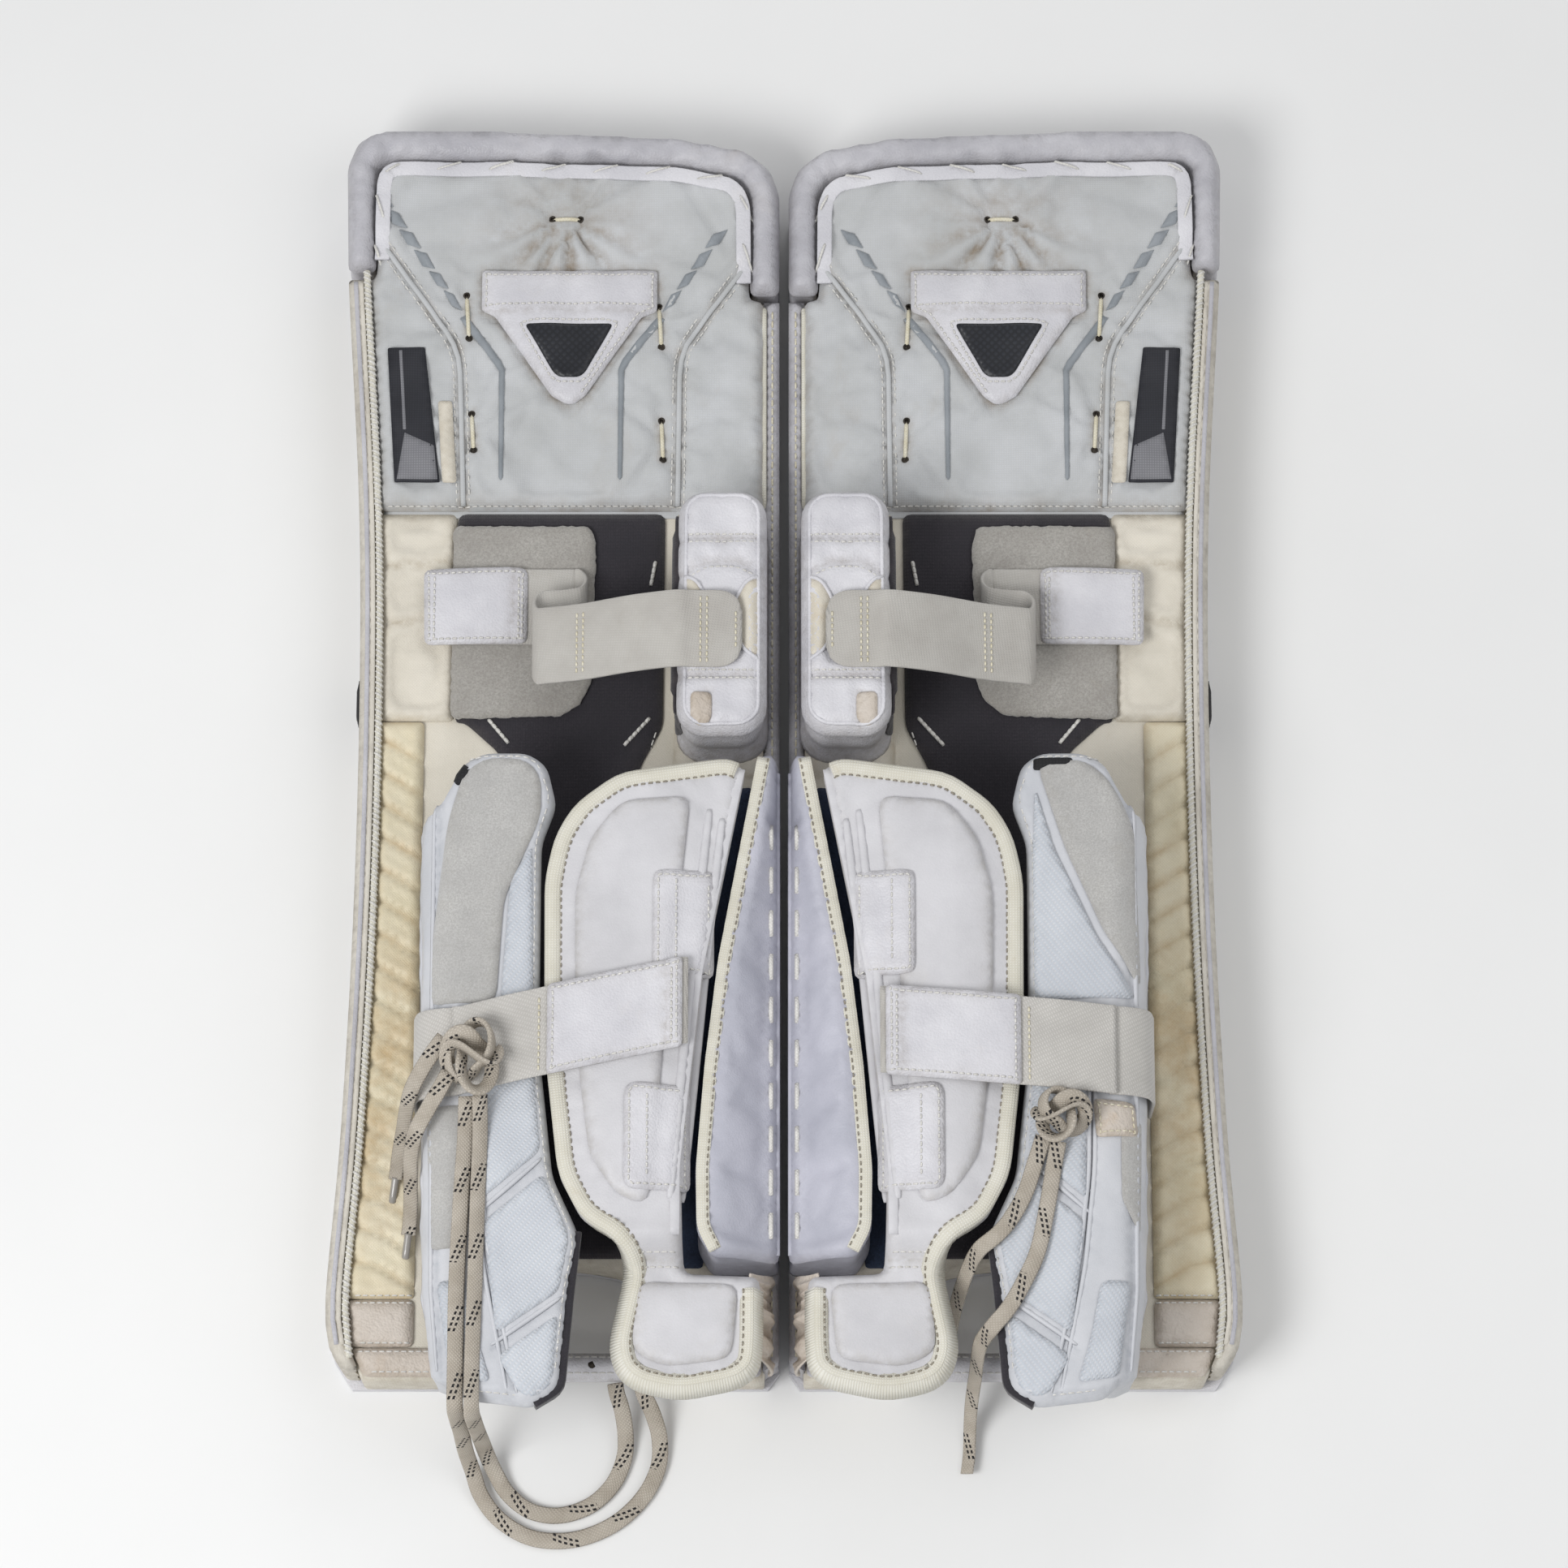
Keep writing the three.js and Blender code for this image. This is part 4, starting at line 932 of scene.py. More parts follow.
# Inner wing: a padded panel over the calf, dropping to a flap at the toe end
wingPanel = [(24, -28), (35, -24), (101, -33), (128, -52), (140, -72), (146, -100), (145, -205),
    (136, -284), (122, -311), (99, -325), (96, -332), (93, -340), (103, -386), (99, -402), (88, -411),
    (62, -416), (24, -406), (15, -396), (15, -344), (61, -342), (62, -326), (63, -280), (50, -160),
    (38, -100)]


def onInnerWing(p, h):
    drop = np.clip((-318 - p[:, 1]) / 24, 0, 1)
    drop = drop * drop * (3 - 2 * drop)
    base = 118 - 16.5 * drop - 0.13 * np.clip(p[:, 0] - 105, 0, 60) * (1 - drop)
    return np.column_stack([p[:, 0], p[:, 1], base + h])


foamPanel = [(58, -48), (100, -51), (119, -74), (128, -108), (127, -200), (118, -273), (101, -298),
    (83, -304), (79, -280), (71, -160), (62, -90)]
flapPanel = [(28, -350), (88, -348), (92, -390), (72, -400), (32, -395)]


for side, sign in signs.items():
    own = pads[side]
    body = side + "_inner_wing_body"
    innerWing = {"thick": 12.6, "step": 4, "groove": 1.4, "grooveWidth": 2.6, "round": 7, "rim": 0.5,
        "filling": (2, 1.8, -0.01)}
    own["innerWing"] = cushion(side + "InnerWing", soften(wingPanel, 6), "paddedVinylWhite", body, side,
        place=onInnerWing, seams=[[(64, -335), (95, -335)]], nodes=[side + "_inner_wing"], slot="wing_foam",
        **innerWing)
print("padded pieces cut:", len(simulated))

# Stuffing: every padded piece is blown up as cloth held at its seams
simulation = {"frames": 14, "quality": 5, "mass": 0.25}
before = {}
for piece, pinned, pressure, cap, shrink in simulated:
    group = piece.vertex_groups.new(name="sewn")
    group.add([int(i) for i in np.flatnonzero(pinned)], 1, "REPLACE")
    cloth = piece.modifiers.new("stuffing", "CLOTH")
    cloth.settings.quality = simulation["quality"]
    cloth.settings.mass = simulation["mass"]
    cloth.settings.use_pressure = True
    cloth.settings.uniform_pressure_force = pressure
    cloth.settings.vertex_group_mass = "sewn"
    cloth.settings.shrink_min = shrink
    cloth.settings.effector_weights.gravity = 0
    cloth.collision_settings.use_collision = False
    cloth.point_cache.frame_start = 1
    cloth.point_cache.frame_end = simulation["frames"]
for step in range(1, simulation["frames"] + 1):
    scene.frame_set(step)
graph = bpy.context.evaluated_depsgraph_get()
moved = {}
for piece, pinned, pressure, cap, shrink in simulated:
    grown = piece.evaluated_get(graph).data
    place = np.zeros(len(grown.vertices) * 3)
    grown.vertices.foreach_get("co", place)
    moved[piece.name] = place.reshape(-1, 3)
for piece, pinned, pressure, cap, shrink in simulated:
    start = np.zeros(len(piece.data.vertices) * 3)
    piece.data.vertices.foreach_get("co", start)
    start = start.reshape(-1, 3)
    shift = moved[piece.name] - start
    size = np.maximum(np.linalg.norm(shift, axis=1), 1e-9)
    shift *= np.minimum(1, cap / 1000 / size)[:, None]
    piece.modifiers.remove(piece.modifiers["stuffing"])
    piece.vertex_groups.clear()
    piece.data.vertices.foreach_set("co", (start + shift).ravel())
    piece.data.update()
    print(piece.name, "puffed up to", round(float(np.minimum(size, cap / 1000).max()) * 1000, 1), "mm")
scene.frame_set(1)
print("padding done")


# Details sit on the stuffed pieces: each point is dropped along the piece's own depth until it lands

def treeOf(*pieces):
    verts, faces = [], []
    for piece in pieces:
        start = len(verts)
        verts += [v.co.copy() for v in piece.data.vertices]
        faces += [tuple(start + i for i in f.vertices) for f in piece.data.polygons]
    return BVHTree.FromPolygons(verts, faces)


# ease is how widely stiff pieces bridge the hollows: the landing is averaged over that radius
def onto(side, pieces, place=None, reach=60.0, floorAt=0.0, ease=0.0):
    place = place or flat(floorAt)
    tree = treeOf(*pieces)
    sign = signs[side]
    around = [(0, 0)] + ([(ease * math.cos(k * math.pi / 4), ease * math.sin(k * math.pi / 4))
        for k in range(8)] if ease else [])

    def land(p, h):
        p = np.asarray(p, float)
        h = np.broadcast_to(np.asarray(h, float), (len(p),))
        depths = []
        for offset in around:
            outer = place(p + offset, np.full(len(p), reach))
            way = place(p + offset, np.zeros(len(p))) - outer
            far = np.linalg.norm(way, axis=1)
            way /= np.maximum(far, 1e-9)[:, None]
            row = []
            for start, heading, most in zip(outer, way, far):
                found = tree.ray_cast(Vector((sign * start[0], start[1], start[2])) / 1000,
                    Vector((sign * heading[0], heading[1], heading[2])), 0.25)[3]
                row.append(most if found is None or found * 1000 > most + 25 else found * 1000)
            depths.append(row)
            if offset == around[0]:
                top, down = outer, way
        depths = np.array(depths)
        # a neighbour far below is past the edge, so it doesn't count
        depths = np.where(depths > depths[0] + 4, depths[0], depths)
        return top + down * (depths.mean(axis=0) - h)[:, None]
    return land


def threadProfile(radius):
    return circle(radius, 6, 0.8)


# Rows of single stitches, each a short bent thread that dives in at both ends
def stitches(name, lines, place, material, body, side, pitch=5.0, gap=1.4, radius=0.55, slot=None,
        lift=0.2):
    parts = []
    for line in lines:
        row = resample(line, 1.0, False)
        run = np.concatenate([[0], np.cumsum(np.linalg.norm(np.diff(row, axis=0), axis=1))])
        marks = np.arange(0, run[-1] - pitch + gap, pitch)
        for m in marks:
            at = np.linspace(m, m + pitch - gap, 4)
            spots = np.column_stack([np.interp(at, run, row[:, 0]), np.interp(at, run, row[:, 1])])
            rise = np.array([-0.3, 0.5, 0.5, -0.3]) * radius + lift
            parts.append(sweep(place(spots, rise), threadProfile(radius)))
    verts, faces, sewn = join(parts)
    return addPiece(name, verts, faces, material, body, side, sewn, (), slot)


# Threads whipped across a seam, at a spacing along a line
def whips(name, line, place, material, body, side, spacing=8.0, reach=4.0, slant=2.0, radius=0.7, rise=1.6,
        slot=None):
    row = resample(line, 1.0, False)
    run = np.concatenate([[0], np.cumsum(np.linalg.norm(np.diff(row, axis=0), axis=1))])
    parts = []
    for m in np.arange(spacing / 2, run[-1], spacing):
        a = np.array([np.interp(m, run, row[:, 0]), np.interp(m, run, row[:, 1])])
        b = np.array([np.interp(m + 1, run, row[:, 0]), np.interp(m + 1, run, row[:, 1])])
        t = (b - a) / max(np.linalg.norm(b - a), 1e-6)
        n = np.array([t[1], -t[0]])
        spots = np.array([a + n * k * reach + t * k * slant for k in (-1, -0.7, 0, 0.7, 1)])
        wobble = dice.uniform(0.8, 1.2)
        heights = np.array([-0.5, 0.7, 1, 0.7, -0.5]) * rise * wobble
        parts.append(sweep(place(spots, heights), threadProfile(radius * wobble)))
    verts, faces, sewn = join(parts)
    return addPiece(name, verts, faces, material, body, side, sewn, (), slot)


def patch(name, outline, place, thick, material, body, side, step=4, lift=0.2, round=2.0, nodes=(),
        slot=None, seams=(), groove=0.5, corner=2):
    lifted = lambda p, h: place(p, h + lift)
    return cushion(name, soften(outline, corner), material, body, side, thick, step=step, place=lifted,
        round=round, seams=seams, groove=groove, grooveWidth=1.4, rings=2, nodes=nodes, slot=slot)


def trail(name, line, place, profile, material, body, side, step=3, lift=0.0, slot=None, taper=None):
    row = resample(line, step, False)
    verts, faces, sewn = sweep(place(row, np.full(len(row), lift)), profile, taper=taper)
    return addPiece(name, verts, faces, material, body, side, sewn, (), slot)


def inset(line, size):
    # a line moved sideways, to its left for a positive size
    row = np.array(line, float)
    way = np.gradient(row, axis=0)
    way /= np.maximum(np.linalg.norm(way, axis=1), 1e-9)[:, None]
    return row + np.column_stack([-way[:, 1], way[:, 0]]) * size


def tape(width, thick):
    w, t = width / 2, thick / 2
    return [(-w, -t * 0.3), (-w, t * 0.6), (-w * 0.85, t), (w * 0.85, t), (w, t * 0.6), (w, -t * 0.3),
        (w * 0.85, -t), (-w * 0.85, -t)]


def mirrored(points, middle=143):
    return [(2 * middle - u, v) for u, v in points]


def outlineInset(points, size):
    # an outline pulled in towards its middle by about size
    rim = resample(points, 6)
    area = np.sum(rim[:, 0] * np.roll(rim[:, 1], -1) - np.roll(rim[:, 0], -1) * rim[:, 1])
    way = np.roll(rim, -1, axis=0) - np.roll(rim, 1, axis=0)
    way /= np.maximum(np.linalg.norm(way, axis=1), 1e-9)[:, None]
    inward = np.column_stack([-way[:, 1], way[:, 0]]) * (1 if area > 0 else -1)
    return rim + inward * size


thighTrim = {"tieRadius": 1.3, "eyelet": 1.7, "stripWidth": 9.5, "printDashes": 6}
for side, sign in signs.items():
    own = pads[side]
    pad = side + "_pad"
    on = onto(side, [own["thigh"]], floorAt=40)
    onSoft = onto(side, [own["thigh"]], floorAt=40, ease=4)
    # patch with its carbon-look window, sewn down twice
    own["patch"] = patch(side + "ThighPatch", patchOutline, onto(side, [own["thigh"]], floorAt=40, ease=7),
        2.6, "embossedLeatherWhite", pad, side, nodes=[side + "_thigh_patch"], slot="patch_leather",
        seams=[[(84, 298), (193, 298)]], groove=0.9, round=2.5)
    onPatch = onto(side, [own["patch"]], floorAt=54)
    window = [(110, 288), (167, 288), (148, 255), (144, 252), (132, 252), (128, 255)]
    patch(side + "PatchWindow", window, onPatch, 0.8, "carbonLookVinyl", pad, side, lift=0.1, step=3,
        slot="patch_leather", corner=3)
    patchStitch = [closed(outlineInset([(82, 326), (195, 326), (195, 299), (82, 299)], 3)),
        outlineInset(patchOutline, 3)[40:], closed(outlineInset(window, -3))]
    stitches(side + "PatchStitching", patchStitch, onPatch, "twistedThreadWhite", pad, side, pitch=4.2,
        slot="patch_leather")
    # gusset seams: a rolled ridge and two rows of stitching
    gussets = [[(262, 348), (209, 272), (205, 167)], [(24, 331), (67, 270.5), (68, 167)]]
    for n, line in enumerate(gussets):
        ridgeLine = soften(line, 16, False)
        trail(side + "GussetPiping" + "AB"[n], ridgeLine, onSoft, circle(1.7, 8, 0.8), "wovenNylonGreyShaded",
            pad, side, lift=0.9, slot="thigh_fabric")
    rows = [inset(resample(soften(g, 16, False), 4, False), k) for g in gussets for k in (-4, 4)]
    stitches(side + "GussetStitching", rows, onSoft, "twistedThreadWhite", pad, side, pitch=4.5, radius=0.5,
        slot="thigh_fabric")
    # printed dashes that run into a thin tapering line
    ink = []
    dashStart, dashStop = np.array([264, 380]), np.array([207, 295])
    for k in range(thighTrim["printDashes"]):
        a, b = k / thighTrim["printDashes"], (k + 0.6) / thighTrim["printDashes"]
        wide = 5.2 - 0.35 * k
        pa = dashStart + (dashStop - dashStart) * a
        pb = dashStart + (dashStop - dashStart) * b
        ink.append([pa + (-wide, 0), pa + (wide, 3), pb + (wide, 1), pb + (-wide, -2)])
    ink.append([(209, 293), (205, 296), (182, 264), (179.5, 258), (179.8, 184), (181, 182), (182.4, 184),
        (183.2, 257), (187, 263)])
    for n, shape in enumerate(ink + [mirrored(s) for s in ink]):
        if min(p[0] for p in shape) > 34:  # a dash that would run under the roll is left out
            patch(side + "Print" + str(n), [tuple(p) for p in shape],
                onto(side, [own["thigh"]], floorAt=40, ease=2), 0.5, "printedInkGrey", pad, side, step=3,
                lift=0.6, round=1, slot="thigh_fabric", corner=0.6)
    # waxed lace ties that hold the cloth down, each through two dark eyelets
    tieParts, holeParts = [], []
    for a, b in ties:
        way = (np.array(b, float) - a) / math.dist(a, b)
        spots = np.array([np.array(a) + way * k for k in np.linspace(0, math.dist(a, b), 9)])
        rise = np.array([-1.0, 0.8, 1.6, 1.9, 2.0, 1.9, 1.6, 0.8, -1.0])
        tieParts.append(sweep(on(spots, rise), circle(thighTrim["tieRadius"], 8)))
        for end in (a, b):
            ring = [np.array(end) + thighTrim["eyelet"] * np.array([math.cos(t), math.sin(t)])
                for t in np.linspace(0, 2 * math.pi, 13)]
            holeParts.append(sweep(on(np.array(ring), np.full(13, 0.3)), circle(0.7, 6)))
            holeParts.append(sweep(on(np.array([end, np.array(end) + (0.05, 0)]), np.array([0.1, 0.9])),
                circle(1.4, 10)))
    verts, faces, sewn = join(tieParts)
    addPiece(side + "CushionTies", verts, faces, "twistedThreadCream", pad, side, sewn, (), "thigh_fabric")
    verts, faces, sewn = join(holeParts)
    addPiece(side + "TieEyelets", verts, faces, "blackenedBrass", pad, side, sewn, (), "thigh_fabric")
    # white strip under the rolled edge, whipped to it with long cream stitches
    stripLine = soften([(28, 318), (28.5, 372), (35, 383), (72, 390), (188, 394.5), (252, 394.5),
        (257.5, 390), (258, 334)], 8, False)
    trail(side + "EdgeStrip", inset(resample(stripLine, 4, False), 2), onSoft,
        tape(thighTrim["stripWidth"], 1.8), "embossedLeatherWhite", pad, side, lift=2.5,
        slot="roll_leather")
    onEdge = onto(side, [own["topRoll"], bpy.data.objects[side + "EdgeStrip"]], floorAt=50)
    stitches(side + "EdgeStripStitching", [inset(resample(stripLine, 4, False), -3)], onEdge,
        "twistedThreadWhite", pad, side, pitch=4.5, radius=0.5, slot="roll_leather")
    whips(side + "RollWhipping", inset(resample(stripLine, 4, False), 4.5), onEdge, "twistedThreadWhite",
        pad, side, spacing=34, reach=3, slant=9, radius=0.75, rise=1.2, slot="roll_leather")
    # blank size label in blocks, with a small white label beside it
    label = [(220, 181), (249, 181), (255, 272), (231, 272)]
    own["label"] = patch(side + "SizeLabel", label, onto(side, [own["thigh"]], floorAt=40, ease=8), 1.0,
        "printedLabelBlack", pad, side, lift=1.6, round=1, nodes=[side + "_size_label"], slot="label_print",
        corner=1)
    onLabel = onto(side, [own["label"]], floorAt=54)
    patch(side + "LabelBlock", [(221.5, 183), (247.5, 183), (243, 214), (224, 205)], onLabel, 0.3,
        "printedLabelGrey", pad, side, lift=0.05, round=1, slot="label_print", corner=0.5)
    patch(side + "LabelStripe", [(242, 216), (244, 216), (247.5, 270), (245.5, 270)], onLabel, 0.3,
        "printedLabelGrey", pad, side, lift=0.05, round=1, slot="label_print", corner=0.5)
    patch(side + "SubLabel", [(218.5, 181), (209.5, 181), (213, 236), (222, 236)], onSoft, 0.9,
        "calenderedVinylCream", pad, side, lift=1.3, round=1, slot="label_print", corner=2)
    # panel seams across the pad and the whipped outer edge
    onBack = onto(side, [own[k] for k in ("thigh", "kneeOuter", "landing", "quilt", "toeOne", "toeTwo",
        "outerRoll", "lining", "core")], floorAt=20)
    crossLine = [(14, 164), (256, 164)]
    trail(side + "ThighHem", crossLine, onBack, tape(7, 2.2), "wovenNylonGreyShaded", pad, side, lift=0.6,
        slot="thigh_fabric")
    stitches(side + "ThighHemStitching", [[(16, 166.5), (256, 166.5)]], onBack, "twistedThreadWhite", pad,
        side, pitch=4.5, radius=0.5, slot="thigh_fabric", lift=1.4)
    edgeSeam = outerEdge(326, -384, 12.4)
    onSeam = lambda p, h: np.column_stack([p[:, 0], p[:, 1], 56.2 + 2.0 * (p[:, 1] > 165) + h])
    trail(side + "EdgePiping", edgeSeam, onSeam, circle(2.1, 8), "wovenTapeCream", pad, side, step=4,
        slot="edge_vinyl")
    for n, gap in enumerate((5.5, 9)):
        trail(side + "EdgeLayer" + "AB"[n], outerEdge(322, -376, gap - 0.5),
            onto(side, [own["outerRoll"]], floorAt=20), tape(2.8, 1.8),
            ("embossedLeatherWornShaded", "scuffedVinylGrey")[n], pad, side, step=4, lift=0.4, slot="edge_vinyl")
    whips(side + "EdgeWhipping", edgeSeam, onSeam, "twistedThreadWhite", pad, side, spacing=3.6, reach=2.3,
        slant=1.5, radius=0.75, rise=2.2, slot="edge_vinyl")
    trail(side + "InnerEdgePiping", [(13, 306), (13, -386)], onBack, circle(1.8, 8), "wovenTapeCream", pad,
        side, step=5, lift=0.8, slot="edge_leather")
    stitches(side + "InnerEdgeStitching", [[(7.5, 300), (7.5, -384)]],
        onto(side, [own["innerRoll"]], floorAt=20), "twistedThreadCream", pad, side, pitch=6, radius=0.6,
        slot="edge_leather")
    toeRows = [[(229, -344.5), (266, -344.5)], [(229, -349), (264, -349)], [(209, -379.5), (262, -379.5)],
        [(230, -374), (262, -374)], [(209, -392), (256, -392)], [(18, -338), (70, -338)],
        [(18, -391), (70, -391)]]
    onToe = onto(side, [own[k] for k in ("quilt", "toeOne", "toeTwo", "toeThree", "core")], floorAt=20)
    stitches(side + "ToeStitching", toeRows, onToe, "twistedThreadWhite", pad, side, pitch=4.5,
        slot="quilt_vinyl")
    # knee: bar tacks and dashed edge stitching on the landing
    onLanding = onto(side, [own["landing"]], floorAt=40)
    bars = [[(187, 25), (173, 8)], [(85, 26), (101, 8)], [(82, 130), (85, 113)]]
    stitches(side + "LandingBars", bars, onLanding, "twistedThreadWhite", pad, side, pitch=4.0, gap=0.2,
        radius=1.2, slot="landing_knit")
    landingEdges = [[(199, 18), (183, 1), (182, -28)], [(81, 17), (88, -4), (89, -26)],
        [(200, -40), (200, -310)]]
    stitches(side + "LandingStitching", landingEdges, onLanding, "twistedThreadWhite", pad, side,
        radius=0.5, slot="landing_knit")
    # knee block trims: seams, cut-out cloth insets and the black gusset down its outer side
    onBlock = onto(side, [own["block"]], floorAt=60, reach=90, ease=3)
    blockRows = [[(15, 120.5), (63, 120.5)], [(15, 125.5), (63, 125.5)],
        [(16, 97), (30, 104), (48, 104), (62, 95)], [(15, 31.5), (63, 31.5)], [(15, 36.5), (63, 36.5)],
        [(49.5, 21), (49.5, 0)]]
    stitches(side + "BlockStitching", [resample(soften(r, 10, False), 3, False) for r in blockRows],
        onBlock, "twistedThreadWhite", pad, side, pitch=4.2, slot="block_leather")
    insets = ([(15, 98), (24, 94), (31, 82), (31, 62), (24, 48), (15, 43)],
        [(62, 98), (54, 94), (48, 82), (48, 62), (54, 48), (62, 43)])
    for n, shape in enumerate(insets):
        patch(side + "BlockInsetCloth" + "AB"[n], shape, onBlock, 0.8, "calenderedVinylCream", pad, side,
            step=3, slot="block_leather", corner=5)
        trail(side + "BlockInsetPiping" + "AB"[n], soften(shape, 5, False), onBlock, circle(1.2, 8),
            "embossedLeatherWhite", pad, side, lift=0.6, slot="block_leather")
    patch(side + "BlockPullTab", [(45, 22), (58, 22), (58, 4), (52, 0), (45, 4)], onBlock, 1.6,
        "embossedLeatherCream", pad, side, step=3, slot="block_leather", corner=4)
    trail(side + "BlockPiping", closed(outlineInset(soften(blockOutline, 8), 5)), onBlock, circle(1.3, 8),
        "embossedLeatherWhite", pad, side, lift=0.3, slot="block_leather")
    blockSide = lambda p, h: np.column_stack([60 + h, p[:, 0], p[:, 1]])
    onSide = onto(side, [own["block"]], place=blockSide, reach=30)
    patch(side + "BlockGusset", [(12, 58), (142, 58), (142, 112), (120, 114), (34, 114), (12, 112)], onSide,
        3.2, "brushedKnitBlack", pad, side, step=5, lift=0.5, slot="block_leather", corner=5)
print("thigh and knee trimmed")


# Straps: a woven band along a line drawn across the pad, v moved along by a slant
def band(name, line, half, thick, slant, material, body, side, nodes=(), slot=None, point=0.0, ripple=0.5):
    row = smoothLine(line, 2.5)
    run = np.concatenate([[0], np.cumsum(np.linalg.norm(np.diff(row, axis=0), axis=1))])
    way = np.gradient(row, axis=0)
    way /= np.maximum(np.linalg.norm(way, axis=1), 1e-9)[:, None]
    up = np.column_stack([way[:, 1], -way[:, 0]])
    up *= np.where(up[:, 1].mean() < 0, -1, 1)
    across = [-1, -0.97, -0.8, -0.5, -0.17, 0.17, 0.5, 0.8, 0.97, 1]
    order = [(a, 0.5) for a in across] + [(a, -0.5) for a in across[::-1]]
    verts, faces, sewn = [], [], []
    for i, (u, z) in enumerate(row):
        left = (run[-1] - run[i])
        width = half * (1 if point <= 0 or left > point else 0.45 + 0.55 *
            math.sqrt(max(0, 1 - (1 - left / point) ** 2)))
        wave = ripple * noise.noise(Vector((run[i] / 22, half, 3)))
        for a, t in order:
            cup = wave * a + 0.25 * ripple * noise.noise(Vector((run[i] / 9, a * 2, 8)))
            thin = 0.7 if abs(a) == 1 else 1
            shift = slant(u, z)
            verts.append((u + up[i][0] * (t * thick * thin + cup), shift + a * width,
                z + up[i][1] * (t * thick * thin + cup)))
            sewn.append((run[i], a * half, t))
        if i:
            n = len(order)
            for k in range(n):
                m = (k + 1) % n
                a, b = (i - 1) * n, i * n
                faces.append((a + k, b + k, b + m, a + m))
    n = len(order)
    faces.append(tuple(range(n)))
    faces.append(tuple(range(len(verts) - n, len(verts)))[::-1])
    return addPiece(name, verts, faces, material, body, side, sewn, nodes, slot)


def arcLine(u, z, radius, start, stop, steps):
    return [(u + radius * math.cos(math.radians(start + (stop - start) * k / steps)),
        z + radius * math.sin(math.radians(start + (stop - start) * k / steps))) for k in range(steps + 1)]


kneeStrap = {"half": 25, "thick": 2.2, "tabMiddle": 98, "blockMiddle": 62, "onFelt": 58.6, "onBlock": 127.4}
calfStrap = {"half": 27.5, "thick": 2.2, "left": (-209, -179), "right": (-208, -197), "hinge": 197,
    "height": 138.2}
for side, sign in signs.items():
    own = pads[side]
    body = side + "_knee_strap_body"
    low, high = kneeStrap["onFelt"], kneeStrap["onBlock"]
    line = [(212, low), (174, low), (134, low)] + arcLine(134, low + 8, 8, -90, -260,
        6) + [(147, low + 17.5)] + arcLine(150, low + 25, 7.5, -80, 80, 6) + [(126, 100), (96, 117),
        (68, high + 0.8), (56, high), (26, high)]
    climb = lambda u, z: kneeStrap["tabMiddle"] + (kneeStrap["blockMiddle"] -
        kneeStrap["tabMiddle"]) * min(1, max(0, (z - low - 1) / 30))
    own["kneeStrap"] = band(side + "KneeStrap", line, kneeStrap["half"], kneeStrap["thick"], climb,
        "knittedElasticWhite", body, side, nodes=[side + "_knee_strap"], slot="strap_elastic", point=16)
    onStrap = onto(side, [own["kneeStrap"]], floorAt=50, reach=90)
    tab = [(163, 74), (170, 73), (228, 72), (229, 122), (170, 124), (163, 122)]
    own["kneeTab"] = patch(side + "KneeStrapTab", tab, lambda p,
        h: np.column_stack([p[:, 0], p[:, 1], 59.9 + h + 0.8 * np.sin(p[:, 0] / 14)]), 3.0,
        "embossedLeatherWhite", body, side, nodes=[side + "_knee_strap_tab"], slot="strap_leather",
        seams=[[(172, 73), (172, 124)]], groove=0.7, corner=5, round=3)
    onTab = onto(side, [own["kneeTab"]], floorAt=40, reach=60)
    stitches(side + "KneeTabStitching", [closed(outlineInset(tab, 3.2)), [(168.5, 76), (168.5, 120)],
        [(222, 76), (222, 118)]], onTab, "twistedThreadWhite", body, side, pitch=4.2, radius=0.6,
        slot="strap_leather")
    crosses = [[(130, 42), (130, 82)], [(126, 42), (126, 82)], [(52, 40), (52, 84)], [(48, 40), (48, 84)],
        [(30, 50), (30, 74)]]
    stitches(side + "KneeStrapStitching", crosses, onStrap, "twistedThreadCream", body, side, pitch=4.0,
        radius=0.6, slot="strap_elastic")

